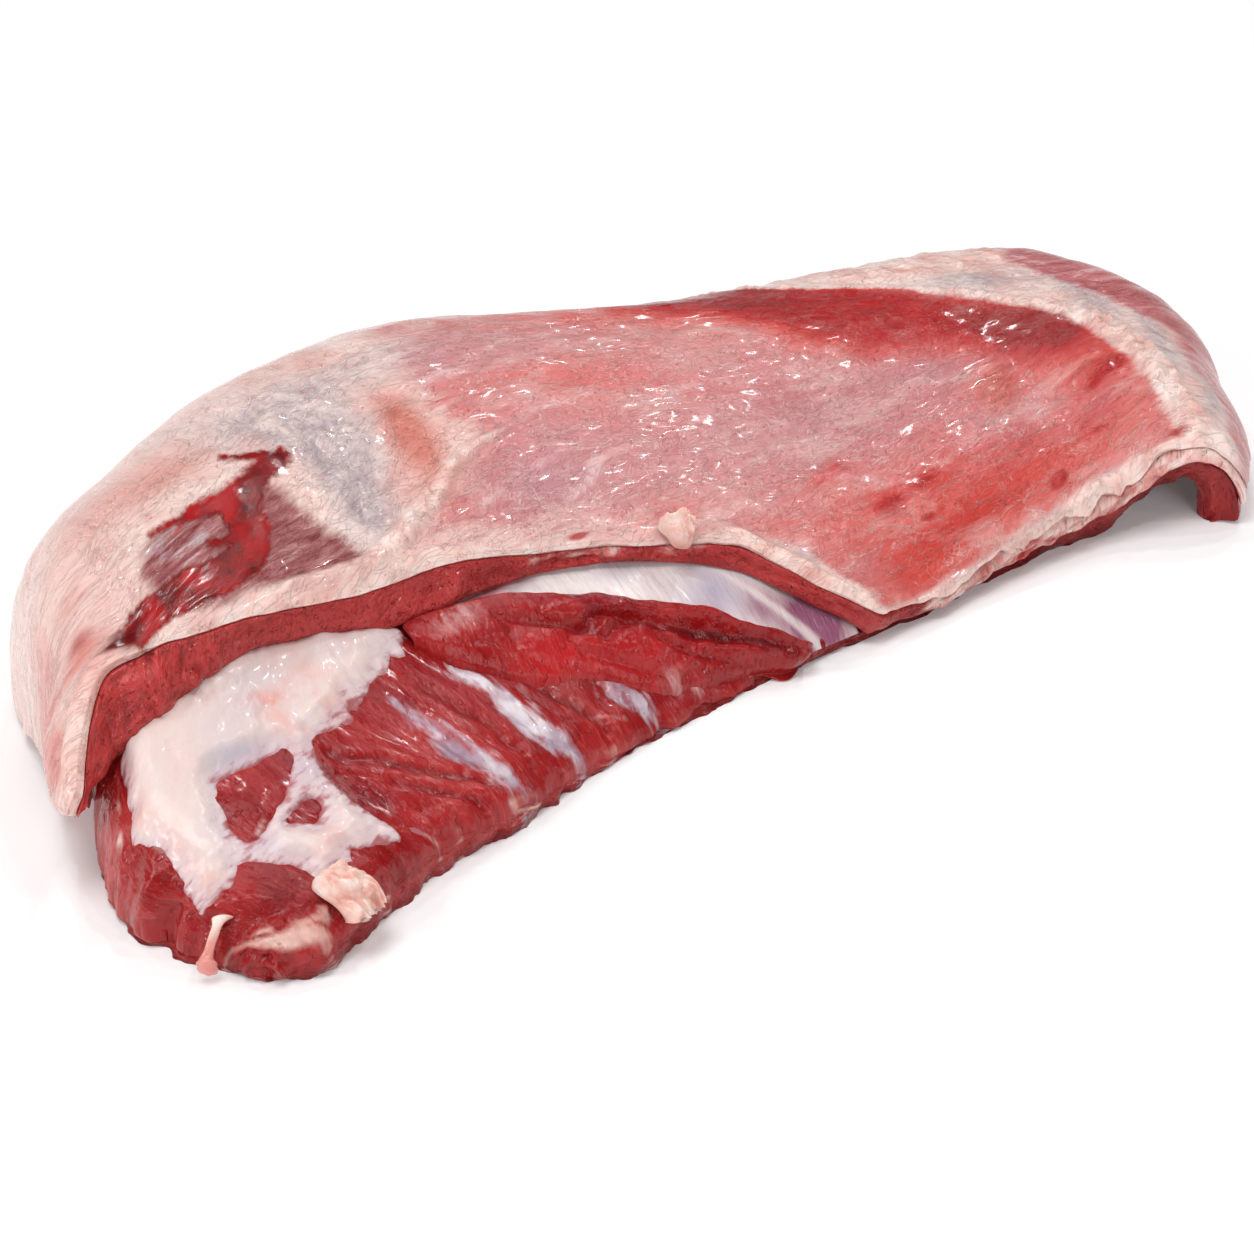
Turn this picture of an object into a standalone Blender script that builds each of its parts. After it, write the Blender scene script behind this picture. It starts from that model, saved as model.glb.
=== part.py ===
"""A raw slab of bone-in lamb ribs: the rib sheet, and over it the flap of belly muscle and fat.

X runs along the slab, thick breast end at -X. The cut front edge, where the ribs and the layers
show, faces -Y. Every layer follows one curved surface, the top of the rib sheet, which is addressed
by two parameters: s from 0 to 1 along the slab and t from 0 at the front edge to 1 at the back.
"""

import math

import bpy
import numpy as np

# Driving dimensions, in metres.
RUN_LENGTH = 0.40  # length of the slab along its middle
RUN_WIDTH = 0.15  # mean width
LEFT_RADIUS = 0.024  # how wide the left end rounds down
BACK_RADIUS = 0.030
RIGHT_RADIUS = 0.020
FOLD_ROWS = 5  # rows of faces round each end
EDGE_HEIGHT = 0.002  # the rib sheet's height at its rounded ends
GAP = 0.0004  # between touching layers
RIB_WIDTH = 0.0115
RIB_HEIGHT = 0.0075
GROOVE_GAP = 0.0004
FLAP_GAP = 0.0013  # under the flap, whose grid differs from the rib sheet's
SHEET_GAP = 0.0013  # under the pink sheet, whose grid differs from the fat's
MUSCLE_GAP = 0.0020  # under the inner muscle, which lies over the ribs
SHEET_THICKNESS = 0.0016
FAT_THICKNESS = 0.0022
SILVERSKIN_THICKNESS = 0.0011
BRISKET_FAT_THICKNESS = 0.0030
RIB_SHEET_THICKNESS = 0.034  # at the crest; the hollow below it is what is left of the height
FLANK_THICKNESS = 0.0055
FRONT_ROUND = 0.007  # how wide the cut front edge rounds over
TOE_WIDTH = 0.006  # what stands on the surface round the hollow of the flank end

# The slab's outline seen from above, as points that a smooth curve goes through.
CENTRE = (0.0498, 0.0591)
FRONT_EDGE = [
    (-0.150, -0.036), (-0.139, -0.041), (-0.119, -0.039), (-0.094, -0.032), (-0.063, -0.029),
    (-0.025, -0.022), (0.030, -0.020), (0.090, -0.023), (0.165, -0.026), (0.190, -0.033),
    (0.212, -0.050),
]
BACK_EDGE = [
    (-0.138, 0.0883), (-0.118, 0.1155), (-0.088, 0.133), (-0.055, 0.150), (-0.020, 0.159),
    (0.020, 0.158), (0.050, 0.144), (0.085, 0.127), (0.140, 0.113), (0.205, 0.100), (0.236, 0.0909),
]
LEFT_EDGE = [
    (-0.150, -0.036), (-0.163, -0.014), (-0.166, 0.006), (-0.160, 0.026), (-0.149, 0.046),
    (-0.142, 0.068), (-0.138, 0.0883),
]
RIGHT_EDGE = [
    (0.212, -0.050), (0.231, -0.036), (0.2465, -0.014), (0.259, 0.010), (0.2606, 0.035),
    (0.2536, 0.060), (0.236, 0.0909),
]

# Heights of the rib sheet's top at the crest and at the front edge, by place along X.
CREST = [(-0.165, 0.045), (-0.12, 0.050), (-0.06, 0.052), (0.05, 0.047), (0.15, 0.041), (0.26, 0.034)]
FRONT_RIM = [
    (-0.165, 0.012), (-0.12, 0.015), (-0.06, 0.012), (0.0, 0.006), (0.09, 0.004), (0.15, 0.009),
    (0.175, 0.012), (0.205, 0.026), (0.22, 0.028),
]

# How far the front edge rounds down, by s.
FRONT_DROP = [(0.0, 0.006), (0.3, 0.006), (0.5, 0.003), (0.62, 0.002), (0.8, 0.003), (1.0, 0.001)]

# Where the flap is cut away from the ribs: t of the cut, by s.
CUT_LINE = [
    (0.0, 0.68), (0.012, 0.56), (0.035, 0.475), (0.095, 0.435), (0.147, 0.43), (0.205, 0.39),
    (0.265, 0.34), (0.315, 0.32), (0.36, 0.315), (0.435, 0.29), (0.495, 0.245), (0.535, 0.19),
    (0.555, 0.13), (0.592, 0.03), (0.610, 0.0), (1.0, 0.0),
]
# Thickness of the whole flap at the cut and inside it, by s.
CUT_THICKNESS = [
    (0.0, 0.010), (0.02, 0.016), (0.05, 0.018), (0.12, 0.0145), (0.26, 0.0135), (0.33, 0.011),
    (0.40, 0.0075), (0.45, 0.0062), (0.49, 0.0066), (0.53, 0.0095), (0.60, 0.0095), (0.66, 0.0075),
    (1.0, 0.0085),
]
INNER_THICKNESS = [(0.0, 0.009), (0.03, 0.0125), (0.4, 0.0120), (0.6, 0.0110), (1.0, 0.0095)]

# The near border of the pink sheet, where the fat ridge ends: s by t.
RIDGE = [
    (0.0, 0.262), (0.36, 0.268), (0.42, 0.305), (0.465, 0.335), (0.51, 0.365), (0.60, 0.360),
    (0.80, 0.372), (1.0, 0.40),
]
# The far border of the sheet: s by t.
FAR_BORDER = [
    (0.0, 0.945), (0.06, 0.950), (0.12, 0.942), (0.26, 0.922), (0.38, 0.905), (0.5, 0.878),
    (0.58, 0.855), (0.68, 0.835), (0.80, 0.80), (1.0, 0.76),
]
SHEET_BACK = 0.94
# How far inside those two borders the sheet itself ends, in s, and behind the cut, in metres.
SHEET_INSIDE = (0.020, 0.014)
SHEET_SET_BACK = 0.004

MEAT_RED = (0.42, 0.055, 0.055)
MEAT_DARK = (0.33, 0.03, 0.035)
MEAT_PINK = (0.68, 0.28, 0.27)
FAT_WHITE = (0.88, 0.76, 0.71)
FAT_PINK = (0.85, 0.60, 0.54)
BONE_PALE = (0.76, 0.68, 0.72)
MEMBRANE_PALE = (0.78, 0.70, 0.74)


def clear_scene():
    for item in list(bpy.data.objects):
        bpy.data.objects.remove(item, do_unlink=True)


def material(name, color, roughness=0.35):
    made = bpy.data.materials.new(name)
    made.use_nodes = True
    shader = made.node_tree.nodes["Principled BSDF"]
    shader.inputs["Base Color"].default_value = (*color, 1.0)
    shader.inputs["Roughness"].default_value = roughness
    made.diffuse_color = (*color, 1.0)
    return made


# ---- Curves ----

def hermite(knots, values, slopes, place):
    """The smooth curve through values at the knots, read at place. Values may be numbers or points."""
    place = np.clip(np.asarray(place, float), knots[0], knots[-1])
    i = np.clip(np.searchsorted(knots, place, side="right") - 1, 0, len(knots) - 2)
    span = knots[i + 1] - knots[i]
    w = (place - knots[i]) / span
    if values.ndim > 1:
        span, w = span[..., None], w[..., None]
    start = (2 * w**3 - 3 * w**2 + 1) * values[i] + (w**3 - 2 * w**2 + w) * span * slopes[i]
    return start + (3 * w**2 - 2 * w**3) * values[i + 1] + (w**3 - w**2) * span * slopes[i + 1]


def border(points, u):
    """The smooth line through points, at u from 0 to 1 of its length."""
    points = np.array(points, float)
    steps = np.linalg.norm(np.diff(points, axis=0), axis=1)
    knots = np.concatenate([[0.0], np.cumsum(steps)]) / steps.sum()
    return hermite(knots, points, np.gradient(points, knots, axis=0), u)


def profile(stations, place):
    """The smooth function through (place, value) stations, which never passes beyond them."""
    knots, values = np.array(stations, float).T
    rates = np.diff(values) / np.diff(knots)
    before, after = rates[:-1], rates[1:]
    same = before * after > 0
    total = np.where(same, before + after, 1.0)
    inner = np.where(same, 2 * before * after / total, 0.0)
    return hermite(knots, values, np.concatenate([[0.0], inner, [0.0]]), place)


def smooth(low, high, value):
    w = np.clip((value - low) / (high - low), 0.0, 1.0)
    return w * w * (3 - 2 * w)


def bump(value, centre, width):
    return np.exp(-(((value - centre) / width) ** 2))


def spread(count, start=0.0, end=1.0, crowd=0.5):
    """Steps from start to end, closer together near both ends."""
    u = np.linspace(0.0, 1.0, count)
    eased = 0.5 - 0.5 * np.cos(math.pi * u)
    return start + (end - start) * ((1 - crowd) * u + crowd * eased)


# ---- The rib sheet's top, the surface that every layer follows ----

def plan(s, t):
    """X and Y of the point s, t: the surface spanned between the four edges."""
    s, t = np.broadcast_arrays(np.asarray(s, float), np.asarray(t, float))
    front, back = border(FRONT_EDGE, s), border(BACK_EDGE, s)
    left, right = border(LEFT_EDGE, t), border(RIGHT_EDGE, t)
    s, t = s[..., None], t[..., None]
    corners = (
        (1 - s) * (1 - t) * np.array(FRONT_EDGE[0])
        + s * (1 - t) * np.array(FRONT_EDGE[-1])
        + (1 - s) * t * np.array(BACK_EDGE[0])
        + s * t * np.array(BACK_EDGE[-1])
    )
    return (1 - t) * front + t * back + (1 - s) * left + s * right - corners


def rounded(distance, radius):
    """A quarter round: 0 at the edge, 1 from the radius on."""
    rest = 1 - np.clip(distance / radius, 0.0, 1.0)
    return np.sqrt(1 - rest * rest)


def rise(t):
    """How the slab climbs from the front edge to the crest, which lies past the middle."""
    soft = 0.10

    def eased(v):
        return -soft * np.log(np.exp(-v / soft) + math.exp(-1 / soft))

    return (eased(t / 0.62) - eased(0.0)) / (eased(1.6) - eased(0.0))


def fold_rows(radius, length, start=0.0):
    """Places that follow a quarter round in from an edge, as parts of the length. They begin start in."""
    turn = np.linspace(math.acos(1 - start / radius), math.pi / 2, FOLD_ROWS, endpoint=False)
    return radius * (1 - np.cos(turn)) / length


def rows_along(inner, start=0.0, end=0.0):
    """Values of s, close together where the slab's left and right ends round down."""
    left = fold_rows(LEFT_RADIUS, RUN_LENGTH, start)
    middle = np.linspace(LEFT_RADIUS / RUN_LENGTH, 1 - RIGHT_RADIUS / RUN_LENGTH, inner)
    return np.concatenate([left, middle, 1 - fold_rows(RIGHT_RADIUS, RUN_LENGTH, end)[::-1]])


def rows_across(first, inner, back=0.0):
    """Values of t from the given first ones on, close together where the back rounds down."""
    middle = np.linspace(2 * first[-1], 1 - BACK_RADIUS / RUN_WIDTH, inner)
    return np.concatenate([first, middle, 1 - fold_rows(BACK_RADIUS, RUN_WIDTH, back)[::-1]])


def ends(s, t, margin=0.0):
    """How far the slab has rounded down towards its left, back and right edges."""
    width = np.linalg.norm(border(BACK_EDGE, s) - border(FRONT_EDGE, s), axis=-1)
    left = rounded(s * RUN_LENGTH - margin, LEFT_RADIUS)
    right = rounded((1 - s) * RUN_LENGTH - margin, RIGHT_RADIUS)
    return left * right * rounded((1 - t) * width - margin, BACK_RADIUS)


def unrounded(s, t):
    """The slab's height before its edges round down, with its broad swellings and hollows."""
    x = plan(s, t)[..., 0]
    rim = profile(FRONT_RIM, x)
    swell = 0.0030 * bump(s, 0.15, 0.10) * bump(t, 0.60, 0.25)
    hollow = 0.0025 * bump(s, 0.29, 0.05) * bump(t, 0.52, 0.16)
    sag = 0.0030 * bump(s, 0.66, 0.12) * bump(t, 0.40, 0.22)
    return rim + (profile(CREST, x) - rim) * rise(t) + swell - hollow - sag


def top(s, t):
    s, t = np.broadcast_arrays(np.asarray(s, float), np.asarray(t, float))
    height = EDGE_HEIGHT + (unrounded(s, t) - EDGE_HEIGHT) * ends(s, t)
    front = 1 - rounded(t * RUN_WIDTH, FRONT_ROUND)
    height = height - profile(FRONT_DROP, s) * front * np.minimum(ends(s, t) * 1.5, 1.0)
    return np.concatenate([plan(s, t), height[..., None]], axis=-1)


def outward(s, t, step=0.002):
    """The unit normal of the rib sheet's top."""
    along = top(np.clip(s + step, 0, 1), t) - top(np.clip(s - step, 0, 1), t)
    across = top(s, np.clip(t + step, 0, 1)) - top(s, np.clip(t - step, 0, 1))
    normal = np.cross(along, across)
    return normal / np.linalg.norm(normal, axis=-1, keepdims=True)


def above(s, t, height):
    """The points that lie a height over the rib sheet's top."""
    s, t, height = np.broadcast_arrays(s, t, height)
    point = top(s, t) + outward(s, t) * height[..., None]
    point[..., 2] = np.maximum(point[..., 2], 0.0)
    return point


def underside(s, t):
    """The hollow below: slight under the ribs, deep under the thin flank end."""
    s, t = np.broadcast_arrays(np.asarray(s, float), np.asarray(t, float))
    flank = smooth(0.72, 0.93, s)
    thickness = RIB_SHEET_THICKNESS + (FLANK_THICKNESS - RIB_SHEET_THICKNESS) * flank
    height = (unrounded(s, t) - thickness) * ends(s, t, TOE_WIDTH)
    return np.concatenate([plan(s, t), np.maximum(height, 0.0)[..., None]], axis=-1)


# ---- Meshes ----

def solid(name, under, over, surface, bulge=0.25):
    """A closed body between two grids of points, with a wall that bulges slightly along the border."""
    rows, columns = over.shape[:2]
    size = rows * columns
    faces = []
    for i in range(rows - 1):
        for j in range(columns - 1):
            a = i * columns + j
            b, c, d = a + columns, a + columns + 1, a + 1
            faces.append((a, b, c, d))
            faces.append((a + size, d + size, c + size, b + size))
    rim = (
        [(i, 0) for i in range(rows - 1)]
        + [(rows - 1, j) for j in range(columns - 1)]
        + [(i, columns - 1) for i in range(rows - 1, 0, -1)]
        + [(0, j) for j in range(columns - 1, 0, -1)]
    )
    upper = np.array([over[place] for place in rim])
    lower = np.array([under[place] for place in rim])
    side = np.roll(upper, -1, axis=0) - np.roll(upper, 1, axis=0)
    out = np.cross(side, upper - lower)
    out /= np.linalg.norm(out, axis=1, keepdims=True)
    height = np.linalg.norm(upper - lower, axis=1, keepdims=True)
    middle = (upper + lower) / 2 + out * height * bulge
    middle[:, 2] = np.maximum(middle[:, 2], 0.0)
    points = np.concatenate([over.reshape(-1, 3), under.reshape(-1, 3), middle])
    count = len(rim)
    for n in range(count):
        m = (n + 1) % count
        a = rim[n][0] * columns + rim[n][1]
        b = rim[m][0] * columns + rim[m][1]
        near, far = 2 * size + n, 2 * size + m
        faces.append((b, a, near, far))
        faces.append((far, near, a + size, b + size))
    return body(name, points, faces, surface)


def body(name, points, faces, surface):
    mesh = bpy.data.meshes.new(name)
    points = points - np.array([*CENTRE, 0.0])
    mesh.from_pydata(points.tolist(), [], faces)
    mesh.materials.append(surface)
    mesh.shade_smooth()
    made = bpy.data.objects.new(name, mesh)
    bpy.context.collection.objects.link(made)
    return made


def cut_away(target, cutter):
    cutter.hide_render = True
    cutter.display_type = "WIRE"
    modifier = target.modifiers.new("cut", "BOOLEAN")
    modifier.operation = "DIFFERENCE"
    modifier.object = cutter
    modifier.solver = "EXACT"


# ---- The rib sheet and its bones ----

def make_rib_meat():
    s, t = np.meshgrid(rows_along(24), rows_across([0.0, 0.012, 0.035], 8), indexing="ij")
    return solid("rib_meat", underside(s, t), top(s, t), material("rib_meat", MEAT_RED), bulge=0.12)


def rib_path(rib, u):
    """The middle line of a rib, sunk so that its upper quarter stands out of the meat."""
    (near_s, near_t), (far_s, far_t) = rib
    s, t = near_s + (far_s - near_s) * u, near_t + (far_t - near_t) * u
    depth = RIB_HEIGHT * (0.34 + 0.75 * smooth(0.72, 1.0, u))
    return above(s, t, 0.0) - outward(s, t) * depth[..., None], outward(s, t)


def rib_tube(name, rib, grow, surface):
    """An oval rod with round ends along a rib."""
    rings, sides = 12, 12
    u = spread(rings, crowd=0.4)
    middle, normal = rib_path(rib, u)
    ahead = np.gradient(middle, axis=0)
    ahead /= np.linalg.norm(ahead, axis=1, keepdims=True)
    aside = np.cross(normal, ahead)
    aside /= np.linalg.norm(aside, axis=1, keepdims=True)
    lift = np.cross(ahead, aside)
    middle[0] -= ahead[0] * grow
    middle[-1] += ahead[-1] * grow
    taper = 0.62 + 0.38 * np.sqrt(np.sin(math.pi * np.clip(u, 0.02, 0.98)))
    turn = np.arange(sides) * 2 * math.pi / sides
    wide = (RIB_WIDTH / 2 * taper + grow)[:, None, None] * np.cos(turn)[None, :, None]
    high = (RIB_HEIGHT / 2 * taper + grow)[:, None, None] * np.sin(turn)[None, :, None]
    points = middle[:, None] + aside[:, None] * wide + lift[:, None] * high
    tips = np.array([middle[0] - ahead[0] * 0.001, middle[-1] + ahead[-1] * 0.001])
    faces = []
    for i in range(rings - 1):
        for j in range(sides):
            k = (j + 1) % sides
            faces.append((i * sides + j, i * sides + k, (i + 1) * sides + k, (i + 1) * sides + j))
    last = (rings - 1) * sides
    for j in range(sides):
        k = (j + 1) % sides
        faces.append((rings * sides, k, j))
        faces.append((rings * sides + 1, last + j, last + k))
    return body(name, np.concatenate([points.reshape(-1, 3), tips]), faces, surface)


# Each rib from its end near the front edge to where it runs under the muscle: (s, t) pairs.
RIBS = [
    ((0.273, 0.024), (0.236, 0.26)),
    ((0.337, 0.022), (0.291, 0.255)),
    ((0.405, 0.024), (0.386, 0.15)),
]


def make_ribs(rib_meat):
    bone = material("rib_bone", BONE_PALE, 0.3)
    for number, rib in enumerate(RIBS, 1):
        rib_tube(f"rib_bone_{number}", rib, 0.0, bone)
        cut_away(rib_meat, rib_tube(f"rib_groove_{number}", rib, GROOVE_GAP, bone))


# ---- What lies on the open part of the rib sheet ----

# The fat's lower border from its left end round to its right tip: (s, t) pairs. Its upper border runs
# along the flap's cut.
BRISKET_FAT_FOOT = [
    (0.014, 0.400), (0.018, 0.320), (0.035, 0.245), (0.022, 0.165), (0.027, 0.112), (0.045, 0.140),
    (0.055, 0.080), (0.066, 0.030), (0.105, 0.050), (0.138, 0.115), (0.146, 0.185), (0.152, 0.232),
    (0.192, 0.258), (0.215, 0.285), (0.248, 0.302), (0.262, 0.322),
]
BRISKET_FAT_HEAD = [(0.016, 0.455), (0.038, 0.452), (0.100, 0.420), (0.150, 0.415), (0.262, 0.334)]
# The window in the fat, where the meat shows.
WINDOW_EDGE = [
    (0.137, 0.262), (0.136, 0.240), (0.128, 0.210), (0.095, 0.183), (0.070, 0.172), (0.064, 0.205),
    (0.076, 0.255), (0.088, 0.290), (0.112, 0.282),
]


def closed_line(points, count):
    """Points along the closed smooth line through the given ones."""
    points = np.array([*points[-3:], *points, *points[:3]], float)
    steps = np.linalg.norm(np.diff(points, axis=0), axis=1)
    knots = np.concatenate([[0.0], np.cumsum(steps)])
    slopes = np.gradient(points, knots, axis=0)
    place = np.linspace(knots[3], knots[-3], count, endpoint=False)
    return hermite(knots, points, slopes, place)


def make_window_cutter(surface):
    line = closed_line(WINDOW_EDGE, 20)
    s, t = line[:, :1], line[:, 1:]
    heights = np.array([[-0.001, 0.010]])
    walls = above(s + 0 * heights, t + 0 * heights, heights + 0 * s)
    count = len(line)
    faces = [tuple(range(0, 2 * count, 2)), tuple(range(2 * count - 1, 0, -2))]
    for n in range(count):
        m = (n + 1) % count
        faces.append((2 * n, 2 * n + 1, 2 * m + 1, 2 * m))
    return body("fat_window", walls.reshape(-1, 3), faces, surface)


def make_brisket_fat():
    u = np.linspace(0.0, 1.0, 30)
    foot, head = border(BRISKET_FAT_FOOT, u)[:, None], border(BRISKET_FAT_HEAD, u**1.25)[:, None]
    v = spread(8, crowd=0.6)[None, :, None]
    place = foot + (head - foot) * v
    s, t = place[..., 0], place[..., 1]
    inside = np.sin(math.pi * np.clip(v[..., 0], 0.03, 0.97))
    inside = inside * np.sin(math.pi * np.clip(u, 0.02, 0.98))[:, None]
    thickness = BRISKET_FAT_THICKNESS * (0.35 + 0.65 * smooth(0.0, 0.35, inside))
    surface = material("brisket_fat", FAT_WHITE, 0.4)
    fat = solid("brisket_fat", above(s, t, 2 * GAP), above(s, t, 2 * GAP + thickness), surface)
    cut_away(fat, make_window_cutter(surface))


# The inner muscle's folded lip above and its lower border: t by s.
MUSCLE_START, MUSCLE_END = 0.272, 0.552
MUSCLE_LIP = [
    (0.272, 0.318), (0.30, 0.305), (0.345, 0.285), (0.39, 0.240), (0.445, 0.175), (0.48, 0.120),
    (0.515, 0.055), (0.552, 0.012),
]
MUSCLE_FOOT = [
    (0.272, 0.290), (0.28, 0.262), (0.30, 0.205), (0.335, 0.130), (0.37, 0.105), (0.40, 0.045),
    (0.43, 0.012), (0.552, 0.003),
]
MUSCLE_THICKNESS = 0.0085


def make_inner_muscle():
    s = spread(24, MUSCLE_START, MUSCLE_END, 0.6)[:, None]
    v = spread(8, crowd=0.5)[None, :]
    foot, lip = profile(MUSCLE_FOOT, s), profile(MUSCLE_LIP, s)
    t = foot + (lip - foot) * v
    run = (s - MUSCLE_START) / (MUSCLE_END - MUSCLE_START)
    ends_down = np.sqrt(np.clip(np.sin(math.pi * np.clip(run, 0.03, 0.97)), 0.0, 1.0))
    full = 0.16 + 0.84 * smooth(0.0, 0.75, v) * (0.5 + 0.5 * smooth(0.0, 0.35, run))
    folds = 1 - 0.28 * bump(v, 0.55 - 0.25 * run, 0.10) - 0.15 * bump(v, 0.82, 0.08)
    thickness = 0.0012 + MUSCLE_THICKNESS * ends_down * full * folds
    s = s + 0 * v
    under, over = above(s, t, MUSCLE_GAP), above(s, t, MUSCLE_GAP + thickness)
    return solid("inner_muscle", under, over, material("inner_muscle", MEAT_DARK), bulge=0.3)


# The silverskin begins this far behind the muscle's lip and runs this far under the flap, in t.
SKIN_START, SKIN_END = 0.315, 0.603
SKIN_BEHIND_LIP = 0.016
SKIN_UNDER_FLAP = 0.035
SKIN_NEAREST = 0.012


def make_silverskin():
    s = spread(20, SKIN_START, SKIN_END, 0.4)[:, None]
    low = np.where(s > MUSCLE_END, SKIN_NEAREST, profile(MUSCLE_LIP, s) + SKIN_BEHIND_LIP)
    high = np.maximum(profile(CUT_LINE, s) + SKIN_UNDER_FLAP, low + SKIN_NEAREST)
    v = np.linspace(0.0, 1.0, 6)[None, :]
    t = low + (high - low) * v
    s = s + 0 * v
    under, over = above(s, t, GAP), above(s, t, GAP + SILVERSKIN_THICKNESS)
    return solid("silverskin", under, over, material("silverskin", MEMBRANE_PALE, 0.25))


# ---- The flap over the ribs, in three layers ----

def flap_thickness(s, t, cut):
    inside = smooth(0.0, 0.032, (t - cut) * RUN_WIDTH)
    at_cut, full = profile(CUT_THICKNESS, s), profile(INNER_THICKNESS, s)
    return at_cut + (full - at_cut) * inside


def flap_base(s, t, cut):
    """The flap's lower face: it stands off the silverskin along the cut."""
    lifted = smooth(0.27, 0.33, s) * (1 - smooth(0.60, 0.63, s))
    return FLAP_GAP + 0.0018 * lifted * (1 - smooth(0.04, 0.10, t - cut))


def flap_grid(set_back, start=0.0, end=0.0, back=0.0):
    """A grid over the flap, its first column set back from the cut line.

    Start, end and back say how far inside the slab's left, right and back edges it stops.
    """
    s = rows_along(24, start, end)[:, None]
    cut = profile(CUT_LINE, s)
    near = cut + set_back(s) / RUN_WIDTH
    reach = rows_across([0.0, 0.02], 8, back)[None, :]
    return s + 0 * reach, near + (1.0 - near) * reach, cut + 0 * reach


def no_set_back(s):
    return 0 * s


def fat_set_back(s):
    """The white layer ends a little behind the cut muscle, and further behind along the flank."""
    return 0.0012 + 0.003 * bump(s, 0.565, 0.035)


def muscle_top(s, t, cut):
    skin = FAT_THICKNESS + SHEET_THICKNESS + 3 * GAP
    return np.maximum(flap_thickness(s, t, cut) - skin, 0.0011) + flap_base(s, t, cut)


def make_flap_muscle():
    s, t, cut = flap_grid(no_set_back, start=0.0003, end=0.0006)
    under, over = above(s, t, flap_base(s, t, cut)), above(s, t, muscle_top(s, t, cut))
    return solid("flap_muscle", under, over, material("flap_muscle", MEAT_RED), bulge=0.1)


def fat_top(s, t, cut):
    """The fat is thick on the left end, where nothing covers it, and thin under the pink sheet."""
    bare = 1 - smooth(-0.016, 0.008, s - profile(RIDGE, t))
    far = smooth(-0.012, 0.012, s - profile(FAR_BORDER, t))
    thickness = FAT_THICKNESS + (SHEET_THICKNESS + GAP) * np.maximum(bare, 0.75 * far)
    ridge = 0.0014 * bump((t - cut) * RUN_WIDTH, 0.006, 0.005) * smooth(0.10, 0.16, s) * bare
    return muscle_top(s, t, cut) + GAP + thickness + ridge


def make_flap_fat():
    s, t, cut = flap_grid(fat_set_back, start=0.0003, end=0.0060, back=0.0010)
    under, over = above(s, t, muscle_top(s, t, cut) + GAP), above(s, t, fat_top(s, t, cut))
    return solid("flap_fat", under, over, material("flap_fat", FAT_PINK, 0.3), bulge=0.3)


def make_pink_sheet():
    v = spread(14, crowd=0.5)[None, :]
    u = spread(26, crowd=0.6)[:, None]
    sheet_foot = profile(CUT_LINE, RIDGE[0][1])
    left = profile(RIDGE, sheet_foot + (SHEET_BACK - sheet_foot) * v) + SHEET_INSIDE[0]
    far = profile(FAR_BORDER, SHEET_BACK * v) - SHEET_INSIDE[1]
    s = left + (far - left) * u
    cut = profile(CUT_LINE, s)
    set_back = SHEET_SET_BACK + 0.007 * bump(s, 0.575, 0.045) + 0.006 * smooth(0.70, 0.86, s)
    near = cut + set_back / RUN_WIDTH
    t = near + (SHEET_BACK - near) * v
    lowest = fat_top(s, t, cut) + SHEET_GAP
    under, over = above(s, t, lowest), above(s, t, lowest + SHEET_THICKNESS)
    return solid("pink_sheet", under, over, material("pink_sheet", MEAT_PINK, 0.3), bulge=0.3)


# ---- Lumps of fat ----

def mound(name, centre, size, height, base, surface, count=7):
    """A rounded uneven lump that follows the slab: centre as s, t, size along and across in metres."""
    u = spread(count, -1.0, 1.0, 0.7)
    x, y = np.meshgrid(u, u, indexing="ij")
    x, y = x * np.sqrt(1 - y * y / 2), y * np.sqrt(1 - x * x / 2)
    turn = np.arctan2(y, x)
    wide = 1 + 0.14 * np.sin(3 * turn + 1.0) + 0.06 * np.cos(5 * turn)
    s = centre[0] + x * wide * size[0] / 2 / RUN_LENGTH
    t = np.maximum(centre[1] + y * wide * size[1] / 2 / RUN_WIDTH, 0.003)
    dome = np.sqrt(np.clip(1 - 0.92 * (x * x + y * y), 0.0, 1.0))
    lumps = 1 + 0.15 * np.sin(5 * x + 2) * np.cos(4 * y)
    return solid(name, above(s, t, base), above(s, t, base + height * dome * lumps), surface)


def make_lumps():
    fat = material("loose_fat", FAT_WHITE, 0.35)
    mound("fat_nub", (0.491, 0.276), (0.010, 0.009), 0.009, 0.0125, fat)
    mound("fat_cluster", (0.072, 0.036), (0.014, 0.012), 0.0060, 2 * GAP + BRISKET_FAT_THICKNESS, fat)
    mound("fat_scrap", (0.0105, 0.105), (0.0066, 0.0065), 0.0045, 2 * GAP, fat)


def main():
    clear_scene()
    rib_meat = make_rib_meat()
    make_ribs(rib_meat)
    make_brisket_fat()
    make_inner_muscle()
    make_silverskin()
    make_flap_muscle()
    make_flap_fat()
    make_pink_sheet()
    make_lumps()


main()
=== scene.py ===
"""A raw slab of bone-in lamb ribs: the looks, built round the part's solids.

X runs along the slab and -Y is its cut front. Every layer follows the top of the rib sheet, whose
places are named by s, from 0 at the thick breast end to 1, and t, from 0 at the front to 1 at the back.
"""

import math

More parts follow.
